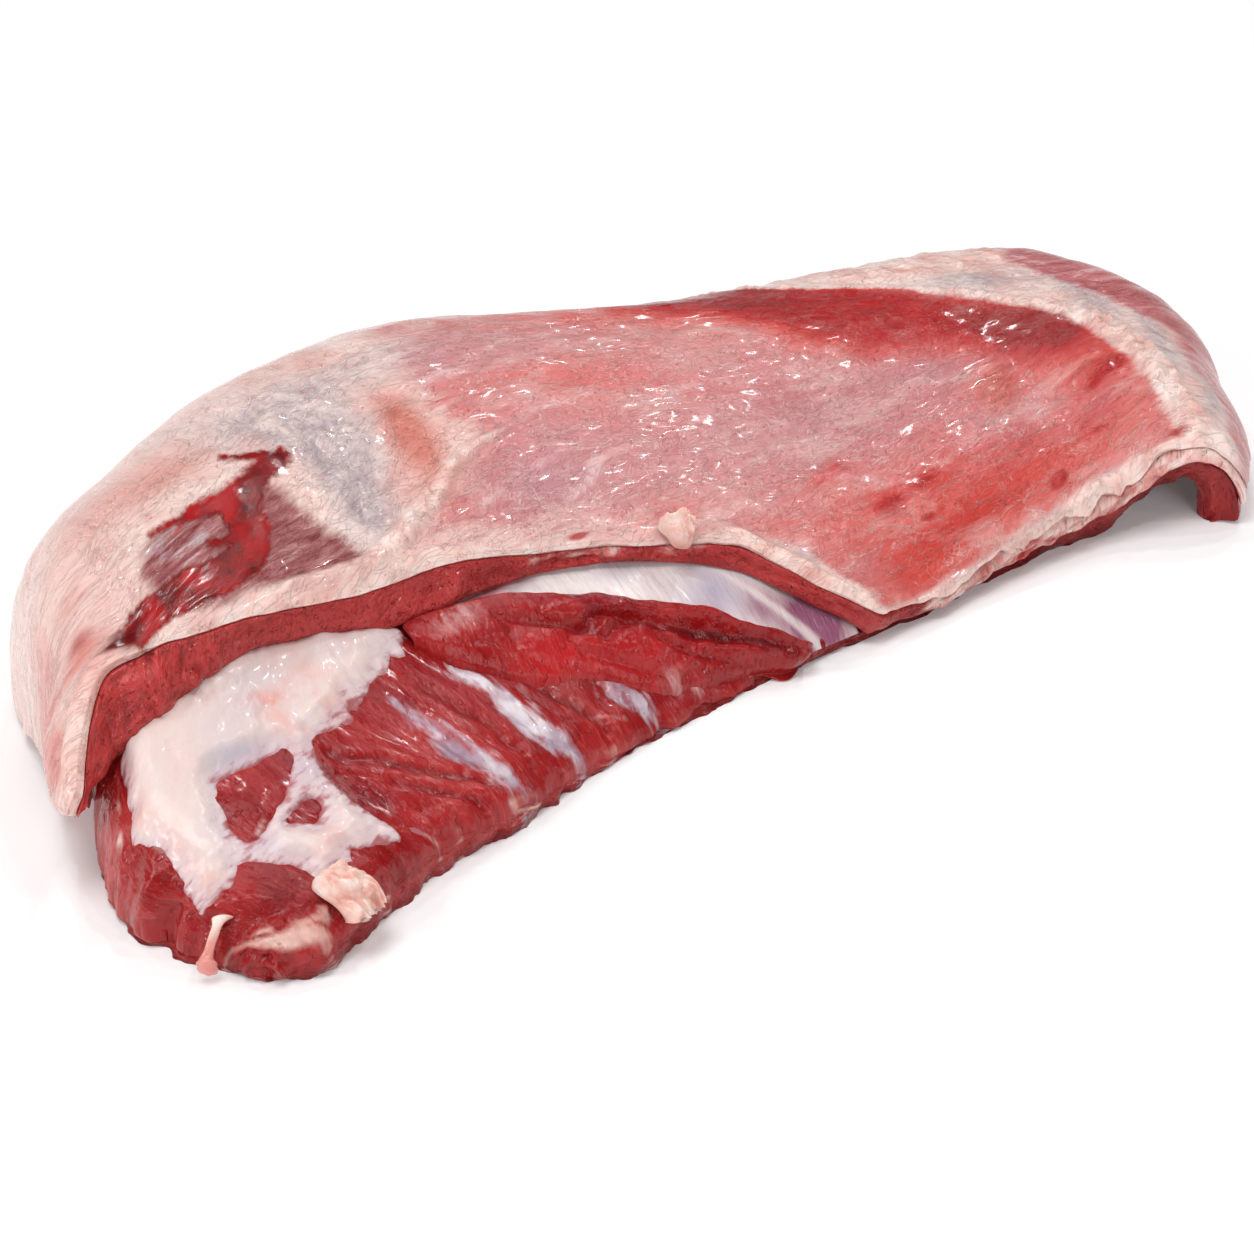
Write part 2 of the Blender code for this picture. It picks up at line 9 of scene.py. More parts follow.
import bmesh
import bpy
import numpy as np
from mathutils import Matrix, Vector


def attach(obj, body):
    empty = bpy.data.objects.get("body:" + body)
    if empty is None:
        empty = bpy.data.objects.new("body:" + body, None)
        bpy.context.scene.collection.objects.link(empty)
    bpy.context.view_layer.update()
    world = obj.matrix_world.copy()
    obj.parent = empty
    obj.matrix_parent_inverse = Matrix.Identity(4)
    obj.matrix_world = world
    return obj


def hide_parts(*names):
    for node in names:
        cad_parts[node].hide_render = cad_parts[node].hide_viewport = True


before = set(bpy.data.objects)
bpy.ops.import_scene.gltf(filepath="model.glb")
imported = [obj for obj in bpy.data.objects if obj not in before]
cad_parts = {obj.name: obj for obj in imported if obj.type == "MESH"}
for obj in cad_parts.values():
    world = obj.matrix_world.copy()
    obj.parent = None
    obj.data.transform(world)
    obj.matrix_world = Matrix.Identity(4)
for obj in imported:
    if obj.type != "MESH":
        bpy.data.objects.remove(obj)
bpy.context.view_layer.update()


# ---- The rib sheet ----
# The lower slab of the breast: ribs with the muscle between them, sawn off along the front. It is dark
# red meat whose fibres run with the ribs, crossed by thin fascia, and its left end bulges in two lobes.

RUN_LENGTH = 0.4
RUN_WIDTH = 0.15
LEFT_RADIUS = 0.024
BACK_RADIUS = 0.03
RIGHT_RADIUS = 0.02
EDGE_HEIGHT = 0.002
GAP = 0.0004
RIB_SHEET_THICKNESS = 0.034
FLANK_THICKNESS = 0.0055
FRONT_ROUND = 0.007
TOE_WIDTH = 0.006
CENTRE = (0.0498, 0.0591)
FRONT_EDGE = [
    (-0.15, -0.036), (-0.139, -0.041), (-0.119, -0.039), (-0.094, -0.032), (-0.063, -0.029),
    (-0.025, -0.022), (0.03, -0.02), (0.09, -0.023), (0.165, -0.026), (0.19, -0.033),
    (0.212, -0.05),
]
BACK_EDGE = [
    (-0.138, 0.0883), (-0.118, 0.1155), (-0.088, 0.133), (-0.055, 0.15), (-0.02, 0.159),
    (0.02, 0.158), (0.05, 0.144), (0.085, 0.127), (0.14, 0.113), (0.205, 0.1), (0.236, 0.0909),
]
LEFT_EDGE = [
    (-0.15, -0.036), (-0.163, -0.014), (-0.166, 0.006), (-0.16, 0.026), (-0.149, 0.046),
    (-0.142, 0.068), (-0.138, 0.0883),
]
RIGHT_EDGE = [
    (0.212, -0.05), (0.23, -0.036), (0.245, -0.014), (0.257, 0.01), (0.2586, 0.035),
    (0.252, 0.06), (0.236, 0.0909),
]
CREST = [(-0.165, 0.045), (-0.12, 0.05), (-0.06, 0.052), (0.05, 0.047), (0.15, 0.041), (0.26, 0.034)]
FRONT_RIM = [
    (-0.165, 0.012), (-0.12, 0.015), (-0.06, 0.012), (0.0, 0.006), (0.09, 0.004), (0.15, 0.009),
    (0.175, 0.012), (0.205, 0.026), (0.22, 0.028),
]
FRONT_DROP = [(0.0, 0.006), (0.3, 0.006), (0.5, 0.003), (0.62, 0.002), (0.8, 0.003), (1.0, 0.001)]


def hermite(knots, values, slopes, place):
    """The smooth curve through values at the knots, read at place."""
    place = np.clip(np.asarray(place, float), knots[0], knots[-1])
    i = np.clip(np.searchsorted(knots, place, side="right") - 1, 0, len(knots) - 2)
    span = knots[i + 1] - knots[i]
    w = (place - knots[i]) / span
    if values.ndim > 1:
        span, w = span[..., None], w[..., None]
    start = (2 * w**3 - 3 * w**2 + 1) * values[i] + (w**3 - 2 * w**2 + w) * span * slopes[i]
    return start + (3 * w**2 - 2 * w**3) * values[i + 1] + (w**3 - w**2) * span * slopes[i + 1]


def border(points, u):
    """The smooth line through points, at u from 0 to 1 of its length."""
    points = np.array(points, float)
    steps = np.linalg.norm(np.diff(points, axis=0), axis=1)
    knots = np.concatenate([[0.0], np.cumsum(steps)]) / steps.sum()
    return hermite(knots, points, np.gradient(points, knots, axis=0), u)


def profile(stations, place):
    """The smooth function through (place, value) stations, which never passes beyond them."""
    knots, values = np.array(stations, float).T
    rates = np.diff(values) / np.diff(knots)
    before, after = rates[:-1], rates[1:]
    same = before * after > 0
    total = np.where(same, before + after, 1.0)
    inner = np.where(same, 2 * before * after / total, 0.0)
    return hermite(knots, values, np.concatenate([[0.0], inner, [0.0]]), place)


def smooth(low, high, value):
    """0 at low, 1 at high, and smooth between."""
    w = np.clip((value - low) / (high - low), 0.0, 1.0)
    return w * w * (3 - 2 * w)


def bump(value, centre, width):
    """1 at the centre, falling off over the width on both sides."""
    return np.exp(-(((value - centre) / width) ** 2))


def plan(s, t):
    """X and Y of the place s, t."""
    front, back = border(FRONT_EDGE, s), border(BACK_EDGE, s)
    left, right = border(LEFT_EDGE, t), border(RIGHT_EDGE, t)
    s, t = s[..., None], t[..., None]
    corners = (
        (1 - s) * (1 - t) * np.array(FRONT_EDGE[0])
        + s * (1 - t) * np.array(FRONT_EDGE[-1])
        + (1 - s) * t * np.array(BACK_EDGE[0])
        + s * t * np.array(BACK_EDGE[-1])
    )
    return (1 - t) * front + t * back + (1 - s) * left + s * right - corners - np.array(CENTRE)


def rounded(distance, radius):
    """The height of a quarter round, from 0 at its edge to 1 at its radius."""
    rest = 1 - np.clip(distance / radius, 0.0, 1.0)
    return np.sqrt(1 - rest * rest)


def rise(t):
    """How the slab climbs from the front edge to its crest."""
    soft = 0.1

    def eased(v):
        return -soft * np.log(np.exp(-v / soft) + math.exp(-1 / soft))

    return (eased(t / 0.62) - eased(0.0)) / (eased(1.6) - eased(0.0))


def ends(s, t, margin=0.0):
    """How far the slab has rounded down towards its left, back and right edges."""
    width = np.linalg.norm(border(BACK_EDGE, s) - border(FRONT_EDGE, s), axis=-1)
    left = rounded(s * RUN_LENGTH - margin, LEFT_RADIUS)
    right = rounded((1 - s) * RUN_LENGTH - margin, RIGHT_RADIUS)
    return left * right * rounded((1 - t) * width - margin, BACK_RADIUS)


def unrounded(s, t, x):
    rim = profile(FRONT_RIM, x)
    swell = 0.003 * bump(s, 0.15, 0.1) * bump(t, 0.6, 0.25)
    hollow = 0.0025 * bump(s, 0.29, 0.05) * bump(t, 0.52, 0.16)
    sag = 0.003 * bump(s, 0.66, 0.12) * bump(t, 0.4, 0.22)
    return rim + (profile(CREST, x) - rim) * rise(t) + swell - hollow - sag


def top(s, t):
    flat = plan(s, t)
    down = ends(s, t)
    height = EDGE_HEIGHT + (unrounded(s, t, flat[..., 0] + CENTRE[0]) - EDGE_HEIGHT) * down
    front = 1 - rounded(t * RUN_WIDTH, FRONT_ROUND)
    height = height - profile(FRONT_DROP, s) * front * np.minimum(down * 1.5, 1.0)
    return np.concatenate([flat, height[..., None]], axis=-1)


def outward(s, t, step=0.002):
    """The direction straight out of the sheet's top."""
    along = top(np.clip(s + step, 0, 1), t) - top(np.clip(s - step, 0, 1), t)
    across = top(s, np.clip(t + step, 0, 1)) - top(s, np.clip(t - step, 0, 1))
    normal = np.cross(along, across)
    return normal / np.linalg.norm(normal, axis=-1, keepdims=True)


def above(s, t, height):
    """The points that lie a height over the rib sheet's top."""
    point = top(s, t) + outward(s, t) * height[..., None]
    point[..., 2] = np.maximum(point[..., 2], 0.0)
    return point


def underside(s, t):
    """The hollow below: slight under the ribs, deep under the thin flank end."""
    flat = plan(s, t)
    flank = smooth(0.72, 0.93, s)
    thickness = RIB_SHEET_THICKNESS + (FLANK_THICKNESS - RIB_SHEET_THICKNESS) * flank
    height = (unrounded(s, t, flat[..., 0] + CENTRE[0]) - thickness) * ends(s, t, TOE_WIDTH)
    return np.concatenate([flat, np.maximum(height, 0.0)[..., None]], axis=-1)


def hills(x, y, seed, octaves=1):
    """Smooth random hills from -1 to 1, one for each unit of x and y."""
    table = np.random.default_rng(seed).uniform(-1, 1, (97, 97))
    total, weight = 0.0, 1.0
    for _ in range(octaves):
        i, j = np.floor(x).astype(int), np.floor(y).astype(int)
        u, v = x - i, y - j
        u, v = u * u * (3 - 2 * u), v * v * (3 - 2 * v)
        near = table[i % 97, j % 97] * (1 - u) + table[(i + 1) % 97, j % 97] * u
        far = table[i % 97, (j + 1) % 97] * (1 - u) + table[(i + 1) % 97, (j + 1) % 97] * u
        total = total + weight * (near * (1 - v) + far * v)
        x, y, weight = x * 2.1 + 5.3, y * 2.1 + 1.7, weight / 2
    return total


def patches(s, t, *listed):
    """Soft spots: s, t, the size along and across in metres, the turn in degrees and the strength."""
    total = 0.0
    for centre_s, centre_t, length, width, turn, strength in listed:
        along, across = (s - centre_s) * RUN_LENGTH, (t - centre_t) * RUN_WIDTH
        a, b = math.cos(math.radians(turn)), math.sin(math.radians(turn))
        spot = bump(along * a + across * b, 0, length) * bump(across * a - along * b, 0, width)
        total = total + strength * spot
    return total


def trail(s, t, stations):
    """How far inside a line of (s, t, radius) stations a place lies, in metres."""
    along, across = s * RUN_LENGTH, t * RUN_WIDTH
    deepest = np.full(s.shape, -1.0)
    for (s0, t0, r0), (s1, t1, r1) in zip(stations[:-1], stations[1:]):
        dx, dy = (s1 - s0) * RUN_LENGTH, (t1 - t0) * RUN_WIDTH
        x, y = along - s0 * RUN_LENGTH, across - t0 * RUN_WIDTH
        w = np.clip((x * dx + y * dy) / (dx * dx + dy * dy), 0.0, 1.0)
        deepest = np.maximum(deepest, r0 + (r1 - r0) * w - np.hypot(x - w * dx, y - w * dy))
    return deepest


def place_mark(s, t, height=0.0):
    """Where a point lies on the sheet laid flat, in metres, for the patterns of its material."""
    return np.stack([s * RUN_LENGTH, t * RUN_WIDTH, 0 * s + height], axis=-1)


def closed_line(points, count):
    points = np.array([*points[-3:], *points, *points[:3]], float)
    steps = np.linalg.norm(np.diff(points, axis=0), axis=1)
    knots = np.concatenate([[0.0], np.cumsum(steps)])
    place = np.linspace(knots[3], knots[-3], count, endpoint=False)
    return hermite(knots, points, np.gradient(points, knots, axis=0), place)


def zone(s, t, outline, count=48):
    """How far inside a smooth closed outline of (s, t) a place lies, in metres."""
    line = closed_line(outline, count) * np.array([RUN_LENGTH, RUN_WIDTH])
    x, y = s * RUN_LENGTH, t * RUN_WIDTH
    nearest, inside = np.full(s.shape, 1.0), np.zeros(s.shape, bool)
    for (x0, y0), (x1, y1) in zip(line, np.roll(line, -1, axis=0)):
        dx, dy = x1 - x0, y1 - y0
        w = np.clip(((x - x0) * dx + (y - y0) * dy) / (dx * dx + dy * dy), 0.0, 1.0)
        nearest = np.minimum(nearest, np.hypot(x - x0 - w * dx, y - y0 - w * dy))
        if dy:
            inside ^= ((y0 > y) != (y1 > y)) & (x < x0 + dx * (y - y0) / dy)
    return np.where(inside, nearest, -nearest)


def laid_piece(name, rows, columns, walls, form, rim_rounds=2):
    """A closed block over the unit square, bent by form(u, v, w) to points and marks for its colours.

    W is 0 on its lower face and 1 on its upper one. Its rims are rounded by smoothing.
    """
    block = bmesh.new()
    bmesh.ops.create_grid(block, x_segments=rows, y_segments=columns, size=0.5)
    bmesh.ops.translate(block, verts=block.verts[:], vec=(0.5, 0.5, 0.0))
    sheet = block.faces[:] + block.edges[:]
    raised = bmesh.ops.extrude_face_region(block, geom=sheet, use_keep_orig=True)
    upper = [v for v in raised["geom"] if isinstance(v, bmesh.types.BMVert)]
    bmesh.ops.translate(block, verts=upper, vec=(0, 0, 1))
    uprights = [e for e in block.edges if e.verts[0].co.z != e.verts[1].co.z]
    bmesh.ops.subdivide_edges(block, edges=uprights, cuts=walls)
    bmesh.ops.recalc_face_normals(block, faces=block.faces[:])
    mesh = bpy.data.meshes.new(name)
    block.to_mesh(mesh)
    size = len(mesh.vertices)
    place = np.empty(size * 3, np.float32)
    mesh.vertices.foreach_get("co", place)
    u, v, w = np.clip(place.reshape(-1, 3).astype(float).T, 0.0, 1.0)
    points, marks = form(u, v, w)
    mesh.vertices.foreach_set("co", points.astype(np.float32).ravel())
    for mark, values in marks.items():
        kind, field = ("FLOAT_VECTOR", "vector") if values.ndim > 1 else ("FLOAT", "value")
        data = mesh.attributes.new(mark, kind, "POINT").data
        data.foreach_set(field, values.astype(np.float32).ravel())
    block.clear()
    block.from_mesh(mesh)
    block.verts.ensure_lookup_table()
    to_border = np.minimum(np.minimum(u, 1 - u), np.minimum(v, 1 - v))
    rim = [block.verts[i] for i in np.flatnonzero((w > 0.001) & (w < 0.999) | (to_border < 0.001))]
    axes = {"use_axis_x": True, "use_axis_y": True, "use_axis_z": True}
    for _ in range(rim_rounds):
        bmesh.ops.smooth_vert(block, verts=rim, factor=0.5, **axes)
    block.to_mesh(mesh)
    block.free()
    mesh.shade_smooth()
    made = bpy.data.objects.new(name, mesh)
    bpy.context.scene.collection.objects.link(made)
    return made


def dress(piece, finish, slot, *nodes):
    """Gives a piece its finish, hangs it on the root body, and hides the solids it stands for."""
    piece.data.materials.append(finish)
    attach(piece, "root")
    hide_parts(*nodes)


def light_of(color):
    """A colour as the eye reads it, 0 to 255, as the light it sends back. A wire stays as it is."""
    if isinstance(color, Wire):
        return color
    parts = (v / 255 for v in color)
    return (*(v / 12.92 if v < 0.04 else ((v + 0.055) / 1.055) ** 2.4 for v in parts), 1.0)


class Wire:
    """One socket of a material, so that sums on values add its Math nodes."""

    def __init__(self, tree, socket=None):
        self.tree = tree
        self.socket = socket

    def node(self, kind, settings=None, values=None, output=0):
        made = self.tree.nodes.new(kind)
        for name, value in (settings or {}).items():
            if name == "stops":
                ramp = made.color_ramp
                while len(ramp.elements) < len(value):
                    ramp.elements.new(0.5)
                for stop, (position, color) in zip(ramp.elements, value):
                    stop.position = position
                    stop.color = color
            else:
                setattr(made, name, value)
        for name, value in (values or {}).items():
            if isinstance(value, Wire):
                self.tree.links.new(value.socket, made.inputs[name])
            else:
                made.inputs[name].default_value = value
        return Wire(self.tree, made.outputs[output])

    def sum(self, operation, first, second):
        return self.node("ShaderNodeMath", {"operation": operation}, {0: first, 1: second})

    def __add__(self, other):
        return self.sum("ADD", self, other)

    def __radd__(self, other):
        return self.sum("ADD", other, self)

    def __sub__(self, other):
        return self.sum("SUBTRACT", self, other)

    def __rsub__(self, other):
        return self.sum("SUBTRACT", other, self)

    def __mul__(self, other):
        return self.sum("MULTIPLY", self, other)

    def __rmul__(self, other):
        return self.sum("MULTIPLY", other, self)

    def mark(self, name):
        return self.node("ShaderNodeAttribute", {"attribute_name": name}, output="Fac")

    def place(self):
        return self.node("ShaderNodeAttribute", {"attribute_name": "place"}, output="Vector")

    def steps(self, low, high):
        """0 below low, 1 above high, and smooth between."""
        made = {"Value": self, "From Min": low, "From Max": high}
        return self.node("ShaderNodeMapRange", {"interpolation_type": "SMOOTHSTEP"}, made)

    def spots(self, per_metre, detail=3.0, stretch=(1, 1, 1), turn=0.0, ragged=0.55, warp=0.0):
        """Random mottling from 0 to 1, so many to the metre."""
        laid = {"Vector": self, "Rotation": (0, 0, math.radians(turn)), "Scale": stretch}
        values = {"Vector": self.node("ShaderNodeMapping", {}, laid), "Scale": per_metre}
        values |= {"Detail": detail, "Roughness": ragged, "Distortion": warp}
        return self.node("ShaderNodeTexNoise", {}, values)

    def web(self, per_metre, width, stretch=(1, 1, 1), turn=0.0, warp=0.8):
        """A web of crooked threads: 1 on a thread and 0 beside it."""
        away = self.spots(per_metre, 4, stretch, turn, 0.55, warp) - 0.5
        return 1 - away.sum("ABSOLUTE", away, 0.0).steps(0.0, width)

    def tint(self, first, second):
        """The first colour where this value is 0, the second where it is 1."""
        values = {0: self, 6: light_of(first), 7: light_of(second)}
        return self.node("ShaderNodeMix", {"data_type": "RGBA", "clamp_factor": True}, values, 2)

    def ramp(self, stops):
        """The colour that this value has among stops of position and colour."""
        lit = [(position, light_of(color)) for position, color in stops]
        return self.node("ShaderNodeValToRGB", {"stops": lit}, {"Fac": self})


def moist_finish(name, paint, coat=0.1, soft=0.12, relief=0.0012):
    """A wet finish. From the material's wire, paint gives its colour, its roughness and its bumps."""
    made = bpy.data.materials.new(name)
    made.use_nodes = True
    tree = made.node_tree
    shader = tree.nodes["Principled BSDF"]
    color, roughness, bumps = paint(Wire(tree))
    tree.links.new(color.socket, shader.inputs["Base Color"])
    tree.links.new(roughness.socket, shader.inputs["Roughness"])
    normal = color.node("ShaderNodeBump", {}, {"Strength": 1.0, "Distance": relief, "Height": bumps})
    tree.links.new(normal.socket, shader.inputs["Normal"])
    shader.inputs["Specular IOR Level"].default_value = 0.3
    shader.inputs["Coat Weight"].default_value = coat
    shader.inputs["Coat Roughness"].default_value = 0.08
    shader.inputs["Subsurface Weight"].default_value = soft
    shader.inputs["Subsurface Radius"].default_value = (1.0, 0.3, 0.22)
    shader.inputs["Subsurface Scale"].default_value = 0.0015
    return made


MEAT_DEEP = (84, 4, 7)
MEAT_RED = (138, 14, 18)
MEAT_BRIGHT = (170, 38, 38)
MEAT_PALE = (200, 98, 94)
FASCIA = (226, 196, 192)


def meat_colour(place, turn):
    """Red meat: dark and bright patches, faint fibres, and thin pale threads of marbling."""
    fibres = place.spots(55, 5, (7, 1.3, 1), turn, 0.65, 0.4)
    mottle = place.spots(75, 4)
    broad = place.spots(24, 2)
    value = fibres * 0.38 + mottle * 0.36 + broad * 0.6 - 0.15
    color = value.ramp([(0.24, MEAT_DEEP), (0.42, MEAT_RED), (0.62, MEAT_BRIGHT), (0.95, MEAT_PALE)])
    threads = place.web(42, 0.02, (6, 1, 1), turn, 0.5) * broad.steps(0.45, 0.62)
    return (threads * 0.35).tint(color, MEAT_PALE), fibres, mottle


def wet_bumps(place, turn):
    """Small swellings and beads of moisture on cut meat."""
    beads = place.spots(430, 2, (1.4, 1, 1), turn).steps(0.6, 0.72)
    return place.spots(150, 3, (1.8, 1, 1), turn) * 0.9 + place.spots(380, 2) * 0.2 + beads * 0.3


def paint_rib_meat(wire):
    place = wire.place()
    color, fibres, mottle = meat_colour(place, 8)
    wander = place.spots(130, 4, (2.5, 1, 1), 8)
    clouds = place.spots(90, 3)
    membrane = clouds.ramp([(0.36, (158, 136, 154)), (0.5, (188, 168, 180)), (0.64, (222, 210, 216))])
    film = (wire.mark("film") * 420 + (wander - 0.5) * 7.0).steps(-0.5, 1.9) * (0.7 + clouds * 0.6)
    color = film.tint(color, membrane)
    fascia = (wire.mark("fascia") * 700 + (wander - 0.5) * 3).steps(0.1, 1.6)
    color = (fascia * 0.8).tint(color, FASCIA)
    fatty = (wire.mark("fatty") * 600 + (mottle - 0.5) * 4).steps(0.2, 1.4)
    color = (fatty * 0.85).tint(color, mottle.ramp([(0.35, (214, 140, 128)), (0.6, (240, 206, 194))]))
    # Darker meat in patches, and painted shade in the fold grooves and low on the sides and underside.
    color = (wire.mark("dark") * 0.75).tint(color, MEAT_DEEP)
    return color, 0.05 + 0.16 * mottle, fibres * 0.5 + wet_bumps(place, 8)


RIBS = [
    ((0.262, 0.022), (0.233, 0.255)),
    ((0.322, 0.02), (0.287, 0.25)),
    ((0.398, 0.022), (0.38, 0.145)),
]
# The membrane over each rib: s, t and half its width.
RIB_FILMS = [
    [(0.229, 0.24, 0.0006), (0.233, 0.19, 0.003), (0.236, 0.13, 0.0042), (0.243, 0.08, 0.0042),
     (0.249, 0.03, 0.004), (0.254, 0.008, 0.0016)],
    [(0.285, 0.24, 0.0018), (0.294, 0.205, 0.0038), (0.298, 0.16, 0.0046), (0.3, 0.105, 0.0054),
     (0.305, 0.05, 0.0052), (0.314, 0.014, 0.0034)],
    [(0.376, 0.112, 0.0018), (0.383, 0.08, 0.0042), (0.392, 0.042, 0.0044), (0.402, 0.012, 0.0026)],
]
# Folds of the meat between the ribs, with a groove along each, darkened by painted shade.
FOLDS = [
    [(0.16, 0.222, 0.0006), (0.188, 0.15, 0.0016), (0.214, 0.088, 0.0016), (0.238, 0.03, 0.0006)],
    [(0.176, 0.12, 0.0006), (0.2, 0.06, 0.0014), (0.216, 0.016, 0.0006)],
    [(0.255, 0.235, 0.0006), (0.268, 0.15, 0.0012), (0.276, 0.06, 0.0006)],
    [(0.33, 0.15, 0.0006), (0.345, 0.08, 0.0014), (0.352, 0.02, 0.0006)],
]
FASCIA_LINES = [
    [(0.135, 0.115, 0.0012), (0.15, 0.055, 0.0007), (0.168, 0.004, 0.0014)],
    [(0.15, 0.235, 0.0014), (0.147, 0.185, 0.0018), (0.142, 0.12, 0.0016), (0.145, 0.05, 0.001)],
    [(0.346, 0.06, 0.0008), (0.372, 0.028, 0.0014)],
    [(0.076, 0.186, 0.0012), (0.092, 0.202, 0.0016), (0.098, 0.214, 0.0002)],
    [(0.42, 0.115, 0.001), (0.44, 0.06, 0.0024), (0.446, 0.01, 0.002)],
    [(0.016, 0.352, 0.001), (0.028, 0.33, 0.0016), (0.028, 0.27, 0.001)],
]
FATTY_LINES = [
    [(0.085, 0.012, 0.002), (0.11, 0.004, 0.001)], [(0.17, 0.006, 0.001), (0.19, 0.002, 0.0012)],
    [(0.236, 0.006, 0.0012), (0.262, 0.002, 0.002)], [(0.028, 0.034, 0.002), (0.055, 0.02, 0.0026)],
    [(0.012, 0.06, 0.0012), (0.024, 0.05, 0.0018)],
    [(0.0, 0.075, 0.0016), (0.016, 0.035, 0.0026), (0.045, 0.01, 0.003)],
    [(0.02, 0.42, 0.001), (0.026, 0.47, 0.0014)], [(0.012, 0.36, 0.0007), (0.014, 0.385, 0.0009)],
    [(0.335, 0.004, 0.001), (0.352, 0.002, 0.0014)],
]


# The round lobes of the left end: s, t, size in metres, turn and height.
LOBES = [
    (0.014, 0.265, 0.006, 0.009, 0, 0.0026), (0.042, 0.1, 0.007, 0.008, 0, 0.0028),
    (0.105, 0.045, 0.008, 0.007, 0, 0.0012), (0.1, 0.24, 0.01, 0.007, 0, 0.0014),
]
DARK_MEAT = [
    (0.4, 0.13, 0.03, 0.012, 0, 0.6), (0.285, 0.325, 0.006, 0.002, 0, 0.7),
    (0.046, 0.085, 0.008, 0.004, 0, 0.5), (0.03, 0.3, 0.012, 0.014, 0, 0.4),
]


def deepest(s, t, trails):
    """How far inside any of several trails a place lies, in metres."""
    return np.max([trail(s, t, stations) for stations in trails], axis=0)


def fold_depth(s, t):
    """How far inside the wandering groove of a fold a place lies, in metres."""
    sway = 0.0045 * hills(t * RUN_WIDTH / 0.006, s * 40, 19, 2)
    return deepest(s + sway, t, FOLDS)


def rib_meat_relief(s, t):
    """The cords, lobes, grooves and ragged edges of the rib meat, in metres."""
    along, across = s * RUN_LENGTH, t * RUN_WIDTH
    lean = along + across * 0.42
    cords = 0.00022 * hills(lean / 0.004, across / 0.02, 11, 3)
    cords = cords + 0.0008 * hills(lean / 0.012, across / 0.04, 14)
    fold = fold_depth(s, t)
    cords = cords + 0.0006 * bump(fold, -0.0024, 0.0016) - 0.0008 * smooth(-0.001, 0.0016, fold)
    lobes = patches(s, t, *LOBES)
    corner = (1 - smooth(0.06, 0.085, s)) * (1 - smooth(0.045, 0.075, t))
    lobes = lobes + 0.0022 * corner * np.abs(hills(along / 0.0055, across / 0.004, 20, 3))
    notch = patches(s, t, (0.0, 0.212, 0.005, 0.0026, 0, 0.002))
    groove = 0.0009 * smooth(-0.0016, 0.0004, deepest(s, t, FASCIA_LINES[:2]))
    frayed = 0.0008 * hills(along / 0.005, across / 0.004, 12, 3) * (1 - smooth(0.02, 0.1, t))
    frayed = frayed * (1 - bump(s, 0.578, 0.035))
    crags = 0.0007 * hills(along / 0.004, across / 0.004, 15, 2) * (1 - smooth(0.02, 0.04, s))
    sunk = 0.0006 * smooth(-0.001, 0.001, deepest(s, t, RIB_FILMS))
    return cords + lobes - notch - groove + frayed + crags - sunk


def rib_meat_form(u, v, w):
    s = profile([(0, 0), (0.05, 0.006), (0.14, 0.04), (0.74, 0.56), (0.95, 0.975), (1, 1)], u)
    t = profile([(0, 0), (0.12, 0.024), (0.72, 0.5), (0.9, 0.88), (0.96, 0.975), (1, 1)], v)
    under, over = underside(s, t), above(s, t, rib_meat_relief(s, t))
    # The corner of the flank end hangs down in a thick ragged tongue.
    tongue = smooth(0.945, 0.985, s) * (1 - smooth(0.05, 0.16, t))
    hang = 0.0065 * tongue * (1 + 0.35 * hills(s * 90, t * 40, 18, 2))
    under = under - outward(s, t) * hang[:, None]
    points = under + (over - under) * w[:, None]
    # The left end and the front are ragged, with a notch and a bulging corner.
    left = (1 - smooth(0.0, 0.012, s * RUN_LENGTH)) * (1 - smooth(0.5, 0.6, t))
    points[:, 0] += left * (0.0022 * bump(t, 0.215, 0.022) - 0.0012 * bump(t, 0.27, 0.05))
    points[:, 0] += left * 0.0009 * hills(t * RUN_WIDTH / 0.005, w * 2.5, 16, 2)
    front = 1 - smooth(0.0, 0.01, t * RUN_WIDTH)
    points[:, 1] -= front * (0.0034 * bump(s, 0.035, 0.028) + 0.0012 * hills(s * 85, w * 2.5, 13, 3))
    points[:, 2] += front * (0.2 + 0.8 * w) * 0.001 * hills(s * 70, w * 2 + 9, 17, 2)
    points[:, 2] = np.maximum(points[:, 2], 0.0)
    # Darker meat in patches and at the front's right; painted shade low on the sides and in fold
    # grooves.
    dark = patches(s, t, *DARK_MEAT) + 0.35 * smooth(0.4, 0.62, s) * (1 - smooth(0.0, 0.06, t))
    dark = dark + 0.5 * (1 - smooth(0.15, 0.6, w))
    dark = (dark + 0.7 * smooth(-0.001, 0.0014, fold_depth(s, t))) * (1 - 0.8 * tongue)
    marks = {
        "place": place_mark(s, t, w * 0.03),
        "film": deepest(s, t, RIB_FILMS),
        "fascia": deepest(s, t, FASCIA_LINES),
        "fatty": deepest(s, t, FATTY_LINES),
        "dark": dark,
    }
    return points, marks


rib_meat_finish = moist_finish("rib_meat_finish", paint_rib_meat, relief=0.0015)
rib_meat = laid_piece("rib_meat_skin", 330, 118, 5, rib_meat_form)
dress(rib_meat, rib_meat_finish, "rib_meat", "rib_meat")


# ---- The ribs ----
# Three rib bones show where the meat over them was trimmed. Each is a flat oval bone under a bluish
# white membrane, sunk in the meat, and the membrane frays into the red at its borders.

RIB_WIDTH = 0.0115
RIB_HEIGHT = 0.0075


